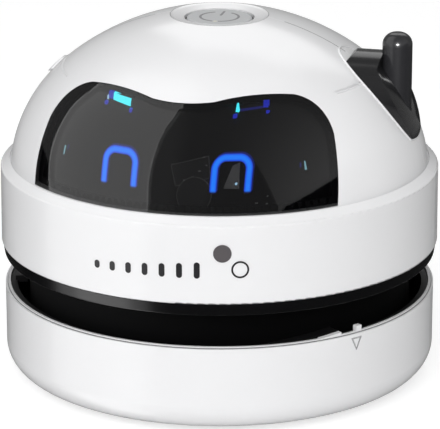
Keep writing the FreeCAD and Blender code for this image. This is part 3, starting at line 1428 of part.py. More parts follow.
NODES = [
    "dome_front_shell", "dome_rear_shell", "body_ring", "button_bezel", "power_button", "switch_plunger",
    "switch_body", "main_board", "board_screws", "housing_screws", "visor_lens", "visor_gasket", "eye_mask",
    "eye_guide_left", "eye_guide_right", "status_bars", "light_board", "light_chips", "antenna_base",
    "antenna_stem", "left_ear_cap", "waist_housing", "fan_shroud", "shroud_screws", "impeller", "motor_shaft",
    "motor_armature", "motor_can", "motor_end_cap", "motor_magnets", "motor_damper", "motor_cradle",
    "motor_screws", "battery_cell", "battery_tray", "battery_contacts", "charge_socket", "charge_board",
    "filter_frame", "filter_fleece", "dust_bowl", "inlet_tube", "bowl_liner", "bowl_seal",
    "brush_holder", "brush_bristles", "glide_pads",
]

dust_bowl()
inlet_tube()
bowl_liner()
bowl_fittings()
waist_housing()
filter_cassette()
fan_parts()
motor_parts()
battery_parts()
body_ring()
charge_parts()
visor_parts()
light_parts()
antenna_parts()
left_cap()
dome_shells()
button_parts()
doc.recompute()

for item in doc.Objects:
    if "Invalid" in item.State or "Error" in item.State:
        raise RuntimeError("%s failed: %s" % (item.Name, item.State))
for node in NODES:
    shape = doc.getObject(node).Shape
    if shape.isNull() or not shape.isValid() or shape.Volume <= 0:
        raise RuntimeError("%s has no sound shape" % node)
for node in NODES:
    item = doc.getObject(node)
    item.Label = node
    item.Shape.exportStep("parts/%s.step" % node)
    print("%-18s solids %3d  volume %10.2f" % (node, len(item.Shape.Solids), item.Shape.Volume))
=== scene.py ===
# %% [markdown]
# # A desktop mini vacuum cleaner
# The shape comes ready from the imported model, which is loaded as a fixed frame: its solids are
# the real shells, rings and screws, in metres, with +Z up and the visor towards -Y. What is left
# to do here is the finish of every part, the small surface details, the light and the camera.

# %% Load the frame
import json
import math

import bmesh
import bpy
import numpy as np
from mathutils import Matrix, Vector


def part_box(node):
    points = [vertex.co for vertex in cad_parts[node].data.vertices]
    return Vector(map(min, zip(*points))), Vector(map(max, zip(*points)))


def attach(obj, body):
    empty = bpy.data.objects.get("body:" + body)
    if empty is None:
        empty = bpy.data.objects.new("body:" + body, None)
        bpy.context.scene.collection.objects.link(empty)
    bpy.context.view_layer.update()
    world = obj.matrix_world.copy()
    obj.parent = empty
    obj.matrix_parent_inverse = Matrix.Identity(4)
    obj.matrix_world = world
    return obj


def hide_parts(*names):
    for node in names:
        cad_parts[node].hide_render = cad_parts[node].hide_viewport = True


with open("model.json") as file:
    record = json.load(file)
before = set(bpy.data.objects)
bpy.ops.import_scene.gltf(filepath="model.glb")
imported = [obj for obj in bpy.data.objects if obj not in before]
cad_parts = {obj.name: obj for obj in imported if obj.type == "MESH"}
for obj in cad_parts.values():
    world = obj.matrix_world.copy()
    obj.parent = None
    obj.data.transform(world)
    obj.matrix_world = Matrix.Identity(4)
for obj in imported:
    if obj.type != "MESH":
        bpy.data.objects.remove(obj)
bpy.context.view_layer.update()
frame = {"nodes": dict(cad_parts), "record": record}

nodes = frame["nodes"]
scene = bpy.context.scene

# %% [markdown]
# ## The camera
# A product photograph of this kind is taken from far away with a long lens, so that the round
# body keeps its round shape. The camera can be aimed by a constraint or by a matrix. It is placed
# by azimuth, elevation and distance here and turned with to_track_quat, because that leaves
# nothing live in the scene.

# %% Camera
AIM = Vector((0.0, 0.0, 0.0312))
AZIMUTH = math.radians(13.3)
ELEVATION = math.radians(17.74)
DISTANCE = 0.621
SENSOR = 36.0
FRAME_WIDE = 440.0
FOCAL_PIXELS = 3070.0
AIM_PIXEL = 219.48

away = Vector((math.cos(ELEVATION) * math.sin(AZIMUTH), -math.cos(ELEVATION) * math.cos(AZIMUTH),
               math.sin(ELEVATION)))
camera_data = bpy.data.cameras.new("camera")
camera_data.sensor_width = SENSOR
camera_data.lens = FOCAL_PIXELS / FRAME_WIDE * SENSOR
camera_data.shift_x = (FRAME_WIDE / 2 - AIM_PIXEL) / FRAME_WIDE
camera_data.clip_start = 0.01
camera = bpy.data.objects.new("camera", camera_data)
camera.location = AIM + away * DISTANCE
camera.rotation_euler = (-away).to_track_quat("-Z", "Y").to_euler()
scene.collection.objects.link(camera)
scene.camera = camera
scene.view_settings.view_transform = "Standard"
print("lens %.1f mm" % camera_data.lens)

# %% [markdown]
# ## Writing a shader as sums
# A node tree is easier to read as an expression. A small class wraps an output socket and
# overloads the operators, so that 1 - mask adds a Math node. A second class holds one finish, with
# a single method that adds any other node: its settings go in first, and then its sockets.


# %% Socket and finish
class Value:
    """A node's output that can be added, subtracted and multiplied like a number."""

    def __init__(self, finish, socket):
        self.finish = finish
        self.socket = socket

    def sum(self, operation, *others):
        """A Math node of an operation on this value and the others."""
        inputs = dict(enumerate((self,) + others))
        return self.finish.make("ShaderNodeMath", {"operation": operation}, inputs)

    def __add__(self, other):
        return self.sum("ADD", other)

    def __sub__(self, other):
        return self.sum("SUBTRACT", other)

    def __mul__(self, other):
        return self.sum("MULTIPLY", other)

    def __rsub__(self, other):
        return self.finish.make("ShaderNodeMath", {"operation": "SUBTRACT"}, {0: other, 1: self})

    def clamp(self):
        """The value held between 0 and 1."""
        return self.finish.make("ShaderNodeClamp", {}, {"Value": self})

    def beside(self, name):
        """Another output of the node that this value comes from."""
        return Value(self.finish, self.socket.node.outputs[name])

    __radd__ = __add__
    __rmul__ = __mul__


class Finish:
    """One material: its tree, its shader and the nodes that vary it over the surface."""

    def __init__(self, name, colour, roughness, **fixed):
        self.material = bpy.data.materials.new(name)
        self.material.use_nodes = True
        self.tree = self.material.node_tree
        self.shader = next(n for n in self.tree.nodes if n.type == "BSDF_PRINCIPLED")
        self.set("Base Color", tuple(colour) + (1.0,))
        self.set("Roughness", roughness)
        for word, value in fixed.items():
            self.set(word.replace("_", " "), value)
        self.place = self.make("ShaderNodeTexCoord", {}, {}, "Object")

    def make(self, kind, settings, inputs, output=0):
        """Adds a node of a type, sets it up, feeds its sockets and returns one of its outputs."""
        node = self.tree.nodes.new(kind)
        for word, value in settings.items():
            setattr(node, word, value)
        for key, value in inputs.items():
            self.feed(node.inputs[key], value)
        return Value(self, node.outputs[output])

    def feed(self, socket, value):
        """Links a value to a socket, or sets the socket to a plain number or colour."""
        if isinstance(value, Value):
            self.tree.links.new(value.socket, socket)
        else:
            socket.default_value = value

    def set(self, word, value):
        """Feeds one socket of the shader by its name."""
        self.feed(self.shader.inputs[word], value)
        return self

    def noise(self, scale, detail=2.0):
        """Soft random values from 0 to 1, with features of about 1 / scale metres."""
        inputs = {"Vector": self.place, "Scale": scale, "Detail": detail}
        return self.make("ShaderNodeTexNoise", {}, inputs, "Fac")

    def mix(self, share, first, second):
        """One colour at share 0 and another at share 1."""
        return self.make("ShaderNodeMix", {"data_type": "RGBA"}, {0: share, 6: first, 7: second}, 2)

    def bump(self, height, depth):
        """Raises the surface by a height from 0 to 1 times a depth in metres."""
        inputs = {"Distance": depth, "Height": height}
        return self.set("Normal", self.make("ShaderNodeBump", {}, inputs, "Normal"))


print("shader helpers ready")

# %% [markdown]
# ## Moulded plastics
# Most of the body is injection-moulded plastic. A polished mould still leaves a very faint
# waviness, and flow and handling change the gloss a little from place to place. Those two are
# what keeps a render from looking like a flat colour: a bump of a few micrometres and a slow
# change of roughness. Satin and grained parts have the same recipe with a finer, deeper bump.


# %% Plastic
SLOW_SCALE = 60.0
DARKER_SHARE = 0.97


def plastic(name, colour, roughness, grain, depth, sway=0.04, **fixed):
    """Moulded plastic: fine grain as bump, and slow changes of gloss and shade."""
    finish = Finish(name, colour, roughness, **fixed)
    slow = finish.noise(SLOW_SCALE, 3.0)
    dark = tuple(DARKER_SHARE * part for part in colour) + (1.0,)
    finish.set("Base Color", finish.mix(slow, dark, tuple(colour) + (1.0,)))
    finish.set("Roughness", slow * (2 * sway) + (roughness - sway))
    return finish.bump(finish.noise(grain, 3.0), depth)


white_gloss = plastic("white_gloss", (0.89, 0.89, 0.90), 0.20, 700.0, 4e-6)
grey_satin = plastic("grey_satin", (0.56, 0.57, 0.58), 0.38, 2600.0, 8e-6)
black_gloss = plastic("black_gloss", (0.005, 0.005, 0.0055), 0.10, 700.0, 2e-6, 0.02)
ear_black = plastic("ear_black", (0.014, 0.014, 0.015), 0.20, 1600.0, 4e-6)
stem_black = plastic("stem_black", (0.010, 0.010, 0.011), 0.24, 1600.0, 4e-6)
mask_black = plastic("mask_black", (0.0015, 0.0015, 0.0018), 0.7, 2600.0, 1e-5)
black_matte = plastic("black_matte", (0.007, 0.007, 0.0075), 0.5, 3000.0, 2e-5)
black_rubber = plastic("black_rubber", (0.012, 0.012, 0.012), 0.62, 2200.0, 3e-5)
circuit_board = plastic("circuit_board", (0.015, 0.11, 0.05), 0.3, 1800.0, 1e-5)
chip_white = plastic("chip_white", (0.75, 0.74, 0.62), 0.3, 3000.0, 5e-6)
magnet = plastic("magnet", (0.05, 0.05, 0.055), 0.5, 3500.0, 2e-5)
cell_sleeve = plastic("cell_sleeve", (0.03, 0.12, 0.35), 0.28, 500.0, 1.5e-5)
bristle = plastic("bristle", (0.03, 0.03, 0.035), 0.4, 5000.0, 5e-6)
print_dark = plastic("print_dark", (0.020, 0.019, 0.021), 0.45, 3000.0, 3e-6)
print_warm = plastic("print_warm", (0.105, 0.095, 0.100), 0.45, 3000.0, 3e-6)
print_grey = plastic("print_grey", (0.24, 0.24, 0.25), 0.5, 3000.0, 3e-6)
relief_grey = plastic("relief_grey", (0.46, 0.46, 0.46), 0.5, 2600.0, 1e-5)
# A lighter grey that paints the highlight along the edges of the parts behind the lens.
edge_highlight_grey = plastic("edge_highlight_grey", (0.24, 0.24, 0.24), 0.5, 2600.0, 1e-5)
relief_black = plastic("relief_black", (0.03, 0.03, 0.031), 0.5, 2600.0, 1e-5)
# A grey that paints the shade along the bowl's raised mark.
mark_shade_grey = plastic("mark_shade_grey", (0.42, 0.42, 0.43), 0.5, 2600.0, 5e-6)
print("materials so far:", len(bpy.data.materials))

# %% [markdown]
# ## Metal, cloth, light guides and the smoked lens
# The screws and the motor can are bare metal. The filter is a white fleece. The eyes are two
# frosted light guides that glow blue. The lens is dark acrylic that lets about a quarter of the
# light pass. It is thin, so the light hardly bends in it: an alpha of a half on its two faces
# gives the same look as real refraction, lets lamp light reach the parts behind it, and stays
# simple in other programs.


# %% Other finishes
def metal(name, colour, roughness, grain):
    """Bare metal with a fine uneven polish."""
    finish = Finish(name, colour, roughness, Metallic=1.0)
    fine = finish.noise(grain, 4.0)
    finish.set("Roughness", fine * 0.16 + (roughness - 0.08))
    return finish.bump(fine, 6e-6)


def glowing(name, colour, strength):
    """A frosted light guide, a little brighter in places."""
    finish = Finish(name, (0.02, 0.03, 0.08), 0.35)
    drift = finish.noise(400.0, 1.0)
    finish.set("Emission Color", finish.mix(drift, tuple(0.9 * part for part in colour) + (1.0,),
                                            tuple(colour) + (1.0,)))
    return finish.set("Emission Strength", strength)


steel = metal("steel", (0.62, 0.63, 0.65), 0.3, 1500.0)
motor_steel = metal("motor_steel", (0.70, 0.70, 0.71), 0.28, 900.0)
copper = metal("copper", (0.80, 0.38, 0.18), 0.35, 2500.0)
filter_cloth = plastic("filter_cloth", (0.78, 0.78, 0.74), 0.9, 2500.0, 1.5e-4)
cyan_glow = glowing("cyan_glow", (0.06, 0.80, 0.92), 4.4)
pale_glow = glowing("pale_glow", (0.45, 0.75, 1.0), 2.6)
blue_glow = glowing("blue_glow", (0.02, 0.035, 0.70), 2.0)
dim_glow = glowing("dim_glow", (0.03, 0.035, 0.42), 0.8)
tick_glow = glowing("tick_glow", (0.30, 0.62, 0.72), 2.0)
idle_guide = plastic("idle_guide", (0.012, 0.012, 0.020), 0.35, 2500.0, 5e-6)
smoked_lens = Finish("smoked_lens", (0.002, 0.002, 0.0025), 0.02, Alpha=0.5, IOR=1.49,
                     Specular_IOR_Level=1.0)
smoked_lens.set("Roughness", smoked_lens.noise(90.0, 1.0) * 0.012 + 0.014)
print("other finishes ready")

# %% [markdown]
# ## Two finishes that follow the shape
# The waist is one dark moulding. Its band is polished and mirrors the studio. The neck under it
# gets a darker, rough finish with little reflection, which is painted shade for the shadow it lies in.
# A step in height separates the two.
# Each eye glows most along the middle of its stroke and turns violet and dark towards the edges,
# as a light guide does. The distance to that middle line is the distance to a rounded arch: how
# far a point lies outside the box of the arch's corner centres, less the corner's radius.


# %% Waist and eyes
def slope(value, low, high):
    """0 below one number, 1 above another and straight between them."""
    return ((value - low) * (1.0 / (high - low))).clamp()


BAND_FOOT = 0.0250
BAND_STEP = 0.0002
waist_black = Finish("waist_black", (0.004, 0.004, 0.0045), 0.2)
waist_high = waist_black.make("ShaderNodeSeparateXYZ", {}, {0: waist_black.place}, "Z")
polished = slope(waist_high, BAND_FOOT - BAND_STEP, BAND_FOOT)
waist_black.set("Roughness", waist_black.noise(SLOW_SCALE) * 0.06 + 0.17)
waist_black.bump(waist_black.noise(1600.0, 3.0), 3e-6)
# Painted shade: the neck's darker finish with little reflection stands for the shadow it lies in.
neck_shade = waist_black.make("ShaderNodeBsdfPrincipled", {}, {
    "Base Color": (0.0015, 0.0015, 0.0018, 1.0), "Roughness": 0.75, "Specular IOR Level": 0.15}, "BSDF")
sheen = Value(waist_black, waist_black.shader.outputs["BSDF"])
both = waist_black.make("ShaderNodeMixShader", {}, {0: polished, 1: neck_shade, 2: sheen}, 0)
ending = next(n for n in waist_black.tree.nodes if n.type == "OUTPUT_MATERIAL")
waist_black.feed(ending.inputs["Surface"], both)

EYE_ACROSS = 0.0109
CORNER_ACROSS = 0.0011
CORNER_HIGH = 0.0521
CORNER_RADIUS = 0.00205
GUIDE_FOOT = 0.04775
FOOT_DARK = 0.0002
FOOT_LIT = 0.0006
CORE_FULL = 0.00024
CORE_END = 0.00062
EDGE_FULL = 0.00056
EDGE_END = 0.00072
EYE_STRENGTH = 3.7
eye_glow = Finish("eye_glow", (0.02, 0.03, 0.08), 0.35)
eye_x = eye_glow.make("ShaderNodeSeparateXYZ", {}, {0: eye_glow.place}, "X")
eye_z = eye_x.beside("Z")
out = ((eye_x.sum("ABSOLUTE") - EYE_ACROSS).sum("ABSOLUTE") - CORNER_ACROSS).sum("MAXIMUM", 0.0)
rise = (eye_z - CORNER_HIGH).sum("MAXIMUM", 0.0)
off_line = ((out * out + rise * rise).sum("SQRT") - CORNER_RADIUS).sum("ABSOLUTE")
at_core = slope(off_line * -1.0, -CORE_END, -CORE_FULL)
over_foot = slope(eye_z, GUIDE_FOOT + FOOT_DARK, GUIDE_FOOT + FOOT_LIT)
at_edge = slope(off_line * -1.0, -EDGE_END, -EDGE_FULL) * over_foot
rim_to_core = eye_glow.mix(at_core, (0.010, 0.045, 0.62, 1.0), (0.012, 0.20, 1.0, 1.0))
eye_glow.set("Emission Color", eye_glow.mix(at_edge, (0.004, 0.003, 0.03, 1.0), rim_to_core))
eye_glow.set("Emission Strength", EYE_STRENGTH)
print("waist and eyes ready")

# %% [markdown]
# ## A finish for every piece of the frame
# Each solid names a material slot in the record. One table goes from slot to finish. A second one
# holds the few pieces that look different from the others of their slot, such as the waist.

# %% Finish every node
SLOTS = {
    "white_gloss": white_gloss, "grey_satin": grey_satin, "black_gloss": black_gloss,
    "black_matte": black_matte, "black_rubber": black_rubber, "circuit_board": circuit_board,
    "chip_white": chip_white, "magnet": magnet, "cell_sleeve": cell_sleeve, "bristle": bristle,
    "steel": steel, "motor_steel": motor_steel, "copper": copper, "filter_cloth": filter_cloth,
    "clear_guide": eye_glow, "smoked_lens": smoked_lens,
}
OWN = {
    "status_bars": idle_guide, "waist_housing": waist_black, "eye_mask": mask_black,
    "visor_gasket": mask_black, "antenna_stem": stem_black, "antenna_base": ear_black,
}
for part in frame["record"]["subparts"]:
    item = nodes[part["node"]]
    finish = OWN.get(part["node"], SLOTS[part["material_slot"]])
    item.data.materials.clear()
    item.data.materials.append(finish.material)

# %% [markdown]
# ## Thin closed pieces
# Prints, light windows and plates are all thin closed sheets that lie on a surface of the model.
# Each could be a plane with a Shrinkwrap and a Solidify modifier. Here the surface has a formula,
# so a flat grid of points is laid on it at two heights, and a strip closes the edge between them.
# A grid is what lies between two rails: straight lines from each point of one to its partner.


# %% Grids and shells
def between(first, second, steps):
    """Points on straight lines from each point of one rail to the same point of the other."""
    share = np.linspace(0.0, 1.0, steps + 1)[None, :, None]
    return first[:, None] * (1 - share) + second[:, None] * share


def quads(rows, columns, wrap, flip=False):
    """The faces of a grid, with its last row joined to its first when it goes round."""
    spots = np.arange(rows * columns).reshape(rows, columns)
    if wrap:
        spots = np.concatenate([spots, spots[:1]])
    faces = np.stack([spots[:-1, :-1], spots[1:, :-1], spots[1:, 1:], spots[:-1, 1:]], -1).reshape(-1, 4)
    return faces[:, ::-1] if flip else faces


def shell(upper, lower, wrap=False):
    """Two grids of the same size closed to one thin body by strips round their edges."""
    rows, columns = upper.shape[:2]
    count = rows * columns
    spots = np.arange(count).reshape(rows, columns)
    if wrap:
        loops = [spots[:, 0], spots[:, -1]]
    else:
        loops = [np.concatenate([spots[0], spots[1:, -1], spots[-1, -2::-1], spots[-2:0:-1, 0]])]
    faces = [quads(rows, columns, wrap), quads(rows, columns, wrap, True) + count]
    for loop in loops:
        ahead = np.roll(loop, -1)
        faces.append(np.stack([loop, ahead, ahead + count, loop + count], -1))
    return np.concatenate([upper.reshape(-1, 3), lower.reshape(-1, 3)]), np.concatenate(faces)


def piece(name, parts, finish, body=None, smooth=False):
    """One object out of closed parts: doubles merged, faces turned outwards, riding on a body."""
    counts = np.cumsum([0] + [len(points) for points, _ in parts])
    points = np.concatenate([points for points, _ in parts])
    faces = np.concatenate([faces + start for (_, faces), start in zip(parts, counts)])
    mesh = bpy.data.meshes.new(name)
    mesh.from_pydata(points.tolist(), [], faces.tolist())
    work = bmesh.new()
    work.from_mesh(mesh)
    bmesh.ops.remove_doubles(work, verts=work.verts, dist=1e-7)
    if body:
        bmesh.ops.recalc_face_normals(work, faces=work.faces)
    work.to_mesh(mesh)
    work.free()
    mesh.polygons.foreach_set("use_smooth", np.full(len(mesh.polygons), smooth))
    mesh.materials.append(finish.material)
    item = bpy.data.objects.new(name, mesh)
    scene.collection.objects.link(item)
    if body:
        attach(item, body)
    return item


print("shell helpers ready")

# %% [markdown]
# ## The dome as a formula
# The dome is turned from two arcs that meet without an edge: a tight one at the shoulder and a
# wide one over the crown. At a height, the radius follows from the circle of that arc. An inset
# makes both circles smaller about the same middles, which is how the wall, the lens and the mask
# behind it lie one within the other.

# %% Dome surface
MM = 0.001
SHOULDER = 28.80 * MM
SHOULDER_OUT = 13.26 * MM
CROWN = 49.29 * MM
CROWN_SINK = 15.62 * MM
EQUATOR = 40.23 * MM
MASK_INSET = 2.25 * MM


def dome_radius(height, inset):
    """The radius at a height: the shoulder's arc below the bend and the crown's arc above it."""
    rise = height - EQUATOR
    bend = (SHOULDER - inset) * CROWN_SINK / (CROWN - SHOULDER)
    low = SHOULDER_OUT + np.sqrt(np.maximum((SHOULDER - inset) ** 2 - rise ** 2, 0.0))
    high = np.sqrt(np.maximum((CROWN - inset) ** 2 - (rise + CROWN_SINK) ** 2, 0.0))
    return np.where(rise < bend, low, high)


def on_visor(flat, lift):
    """Lays (across, height) in millimetres on the mask's front, lifted towards the lens."""
    across = flat[..., 0] * MM
    height = flat[..., 1] * MM
    radius = dome_radius(height, MASK_INSET - lift)
    return np.stack([across, -np.sqrt(np.maximum(radius ** 2 - across ** 2, 0.0)), height], -1)


print("dome radius at the foot: %.2f mm" % (dome_radius(np.array(44.15 * MM), 0.0) / MM))

# %% [markdown]
# ## Small lights and plates behind the lens
# Besides the two arch-shaped eyes, a few small windows glow near the top corners and at the
# sides. A low plate, a round cover and the holder of the right eye show faintly through the dark
# acrylic. They are thin moulded parts on the mask, so each is a shell that lies on it. Corners
# are given across and upwards in millimetres.

# %% Light windows
SUNK = -0.02
WINDOW_PROUD = 0.57
TICK_PROUD = 0.12
WINDOWS = {
    "status_window_left": (cyan_glow, [[(-15.06, 62.44), (-10.95, 62.19), (-14.78, 61.51), (-10.78, 61.09)]]),
    "status_edge_left": (blue_glow, [[(-16.26, 62.43), (-15.08, 62.48), (-15.95, 61.58), (-14.85, 61.56)],
                                     [(-16.62, 61.00), (-15.99, 60.98), (-16.51, 60.60), (-15.93, 60.58)],
                                     [(-10.87, 60.70), (-10.39, 60.69), (-10.76, 60.21), (-10.32, 60.17)],
                                     [(14.45, 62.73), (15.27, 62.73), (14.72, 61.74), (15.55, 61.71)],
                                     [(9.57, 60.84), (10.17, 60.88), (9.68, 60.35), (10.29, 60.36)],
                                     [(15.32, 61.29), (15.77, 61.28), (15.43, 60.84), (15.88, 60.83)]]),
    "status_line_right": (dim_glow, [[(10.59, 61.71), (14.65, 62.00), (10.68, 61.35), (14.74, 61.68)]]),
    "status_sliver_right": (cyan_glow, [[(9.83, 62.46), (9.99, 62.43), (9.92, 61.31), (10.52, 61.23)]]),
    "status_pale_left": (pale_glow, [[(-16.36, 61.85), (-15.99, 61.88), (-16.18, 61.35), (-15.82, 61.39)]]),
    "side_ticks": (tick_glow, [[(-24.06, 52.24), (-23.76, 52.32), (-24.19, 50.68), (-23.92, 50.79)],
                               [(23.27, 52.51), (23.48, 52.42), (23.6, 50.97), (23.93, 50.99)]]),
    "side_ticks_faint": (dim_glow, [[(-23.24, 52.59), (-22.99, 52.65), (-23.38, 51.73), (-23.14, 51.79)],
                                    [(22.59, 52.34), (22.79, 52.31), (22.68, 51.51), (22.92, 51.48)]]),
}


def plate(corners, low, high):
    """A four-cornered plate on the mask: its top left, top right, bottom left and bottom right."""
    points = np.array(corners, float)
    across = np.linspace(0.0, 1.0, 9)[:, None]
    top = points[0] * (1 - across) + points[1] * across
    foot = points[2] * (1 - across) + points[3] * across
    flat = between(top, foot, 6)
    return shell(on_visor(flat, high * MM), on_visor(flat, low * MM))


for name, (finish, sets) in WINDOWS.items():
    high = TICK_PROUD if name.startswith("side") else WINDOW_PROUD
    piece(name, [plate(corners, SUNK, high) for corners in sets], finish, "housing")
print("light windows:", len(WINDOWS))


# %% Plates and cover
def loop(radius, count=48):
    """Points round a flat circle: the cosine and the sine of each angle, times the radius."""
    turn = np.linspace(0.0, 2 * np.pi, count, endpoint=False)
    return np.stack([radius * np.cos(turn), radius * np.sin(turn)], -1)


def on_mask(flat, high, low=SUNK):
    """A round flat grid closed to a plate on the mask, between two heights in millimetres."""
    return shell(on_visor(flat, high * MM), on_visor(flat, low * MM), True)


FRAME = [(-0.65, 52.55), (6.3, 54.28), (7.07, 50.58), (0.57, 48.91)]
HOLDER = [(10.91, 52.66), (12.19, 53.14), (9.61, 48.69), (12.43, 48.57)]
COVER_PLACE = np.array([4.2, 47.4])
COVER_RADIUS = 3.25
PIN_PLACE = np.array([11.87, 49.52])
PIN_RADIUS = 0.22
PIN_SIDES = 16

cover = between(loop(0.0), loop(COVER_RADIUS), 6) + COVER_PLACE
speck = between(loop(0.0, PIN_SIDES), loop(PIN_RADIUS, PIN_SIDES), 2) + PIN_PLACE
piece("sensor_plate", [plate([FRAME[0], FRAME[1], FRAME[3], FRAME[2]], SUNK, 0.18)], relief_black,
      "housing")
piece("sensor_cover", [on_mask(cover, 0.3)], relief_black, "housing")
piece("eye_holder_right", [plate(HOLDER, SUNK, 0.2)], relief_grey, "housing")
# The pin's pale glow is a painted highlight: the glint on the screw of the right eye's holder.
piece("holder_pin_glint", [on_mask(speck, 0.32, 0.15)], pale_glow, "housing")


def chip(across, height, wide, high):
    """A small upright plate round a middle point."""
    left, right, top, foot = across - wide, across + wide, height + high, height - high
    return plate([(left, top), (right, top), (left, foot), (right, foot)], SUNK, 0.26)


def strip(first, last, wide=0.06):
    """A thin line from one point to another, as a plate."""
    way = np.array(last) - np.array(first)
    side = np.array([-way[1], way[0]]) / np.hypot(*way) * wide
    return plate([first + side, last + side, first - side, last - side], SUNK, 0.24)


def round_trip(corners):
    """Pairs of each corner and the next, back to the first."""
    return zip(corners, corners[1:] + corners[:1])


CHIPS = [(5.40, 54.05), (6.08, 52.72), (4.90, 51.71), (3.71, 50.69), (2.12, 50.03), (15.69, 45.83),
         (17.60, 47.0), (17.54, 45.63), (18.75, 45.2)]
chips = [chip(x, z, 0.14 + 0.05 * (index % 3), 0.1) for index, (x, z) in enumerate(CHIPS)]
strips = [strip(np.array(first), np.array(last)) for first, last in round_trip(FRAME)]
cover_edge = between(loop(3.2), loop(3.32), 2) + COVER_PLACE
piece("sensor_chips", chips, relief_grey, "housing")
# The lighter frame round the plate and the lighter rim of the cover are painted highlights along their edges.
piece("sensor_frame", strips, edge_highlight_grey, "housing")
piece("cover_rim", [on_mask(cover_edge, 0.34)], edge_highlight_grey, "housing")
print("plates and covers: 7")

# %% [markdown]
# ## The joint of the two dome shells
# The dome is split along its middle, from the bowl-shaped dish of the button down to the ring. A
# thin grey strip of painted shade lies over the joint and stands for the shadow in its gap, so the
# line reads as soft grey and not as a hard gap.
# It follows the dome's own arcs, so it is the dome's radius at a row of heights, laid at a small
# distance to each side of the middle plane.

# %% Shell joint
JOINT_HALF = 0.11
JOINT_PROUD = 0.012
JOINT_SUNK = -0.3
# A grey that paints the shade in narrow gaps and steps.
gap_shade_grey = plastic("gap_shade_grey", (0.20, 0.20, 0.205), 0.5, 2600.0, 5e-6)


def joint_line(side, low, high):
    """Both edges of the painted shade strip on one side of the dome: x is the dome's radius, y the half
    width.
    """
    height = np.linspace(low, high, 80) * MM
    layers = []
    for lift in (JOINT_PROUD, JOINT_SUNK):
        radius = dome_radius(height, -lift * MM)
        edges = [np.stack([side * radius, np.full(len(height), half * JOINT_HALF * MM), height], -1)
                 for half in (-1.0, 1.0)]
        layers.append(between(edges[0], edges[1], 2))
    return shell(layers[0], layers[1])


# The grey strip is painted shade for the gap in the joint of the shells.
piece("shell_joint_shade", [joint_line(1.0, 66.8, 72.1), joint_line(-1.0, 44.4, 72.1)], gap_shade_grey, "housing")
print("shell joint ready")

# %% [markdown]
# ## Thin lips and lines
# Small lips and shadow lines are what tells a moulded part from a plain solid. A white lip runs
# round the foot of the ear. A grey line of painted shade lies in the step under the bowl's rim, and
# dark rings of painted shade fill the gaps round the button and its dish. A lip is a round bead
# carried along a closed path. The ear's path is its outline from the side, made of arcs through
# corner points, carried onto the dome.

# %% Beads
EAR_HALF = 8.25
EAR_RISE = 59.10
EAR_TIP = 51.20
EAR_TIP_HALF = 4.9
EAR_SIDE_ROUND = 11.6
EAR_TIP_ROUND = 20.0
LIP_AWAY = 0.14


def unit_rows(rows):
    """Vectors of length 1: each row divided by its own length."""
    return rows / np.linalg.norm(rows, axis=-1, keepdims=True)


def bead(path, out, radius, sides=8):
    """A closed round cord: circles across a path, each spanned by an outward and a sideways vector."""
    ahead = unit_rows(np.roll(path, -1, 0) - np.roll(path, 1, 0))
    out = unit_rows(out - (out * ahead).sum(-1, keepdims=True) * ahead)
    side = np.cross(ahead, out)
    turn = np.linspace(0.0, 2 * np.pi, sides, endpoint=False)[None, :, None]
    points = path[:, None] + radius * MM * (np.cos(turn) * out[:, None] + np.sin(turn) * side[:, None])
    spots = np.arange(len(path) * sides).reshape(-1, sides)
    below = np.roll(spots, -1, 0)
    faces = np.stack([spots, below, np.roll(below, -1, 1), np.roll(spots, -1, 1)], -1)
    return points.reshape(-1, 3), faces.reshape(-1, 4)


def arc_between(first, last, radius, count=28):
    """Points on a circle of a radius from one corner to the next, bulging to the right of the way."""
    first, last = np.array(first), np.array(last)
    way = (last - first) / np.hypot(*(last - first))
    half = np.hypot(*(last - first)) / 2
    middle = (first + last) / 2 - np.array([way[1], -way[0]]) * math.sqrt(max(radius ** 2 - half ** 2, 0.0))
    start, end = (math.atan2(*(corner - middle)[::-1]) for corner in (first, last))
    turn = np.linspace(start, end + 2 * math.pi * (end < start), count, endpoint=False)
    return middle + radius * np.stack([np.cos(turn), np.sin(turn)], -1)


half, tip = EAR_HALF + LIP_AWAY, EAR_TIP - LIP_AWAY
foot_left, foot_right = (-EAR_TIP_HALF - LIP_AWAY, tip), (EAR_TIP_HALF + LIP_AWAY, tip)
outline = np.concatenate([arc_between(foot_left, foot_right, EAR_TIP_ROUND),
                          arc_between(foot_right, (half, EAR_RISE), EAR_SIDE_ROUND),
                          arc_between((half, EAR_RISE), (0.0, EAR_RISE + half), half),
                          arc_between((0.0, EAR_RISE + half), (-half, EAR_RISE), half),
                          arc_between((-half, EAR_RISE), foot_left, EAR_SIDE_ROUND)]) * MM
reach = np.sqrt(dome_radius(outline[:, 1], 0.0) ** 2 - outline[:, 0] ** 2)
lip_path = np.stack([reach, outline[:, 0], outline[:, 1]], -1)
piece("ear_lip", [bead(lip_path, lip_path - np.array([0, 0, EQUATOR]), 0.24)], white_gloss, "housing",
      smooth=True)


def circle(radius, height, count=240):
    """A circle about the middle axis."""
    turn = np.linspace(0.0, 2 * np.pi, count, endpoint=False)
    return np.stack([radius * np.cos(turn), radius * np.sin(turn), np.full(count, height)], -1) * MM


def level_ring(near, far, low, high):
    """A flat ring about the middle axis between two radii and two heights."""
    return shell(*(between(circle(near, height), circle(far, height), 1) for height in (high, low)), True)


# A grey cord in the corner of the step under the rim: painted shade for the shadow in that step.
rim_step_shade = circle(42.90, 18.07)
piece("rim_step_shade", [bead(rim_step_shade, rim_step_shade * np.array([1.0, 1.0, 0.0]), 0.14)], gap_shade_grey, "bowl",
      smooth=True)
# Dark rings in the gaps round the button and round the dish's edge: painted shade for the shadow in those
# gaps.
piece("button_gap_shade", [level_ring(6.62, 6.94, 71.2, 71.7)], mask_black, "housing")
piece("dish_gap_shade", [level_ring(9.74, 9.82, 72.5, 72.9)], print_dark, "housing")
print("lips and lines: 4")

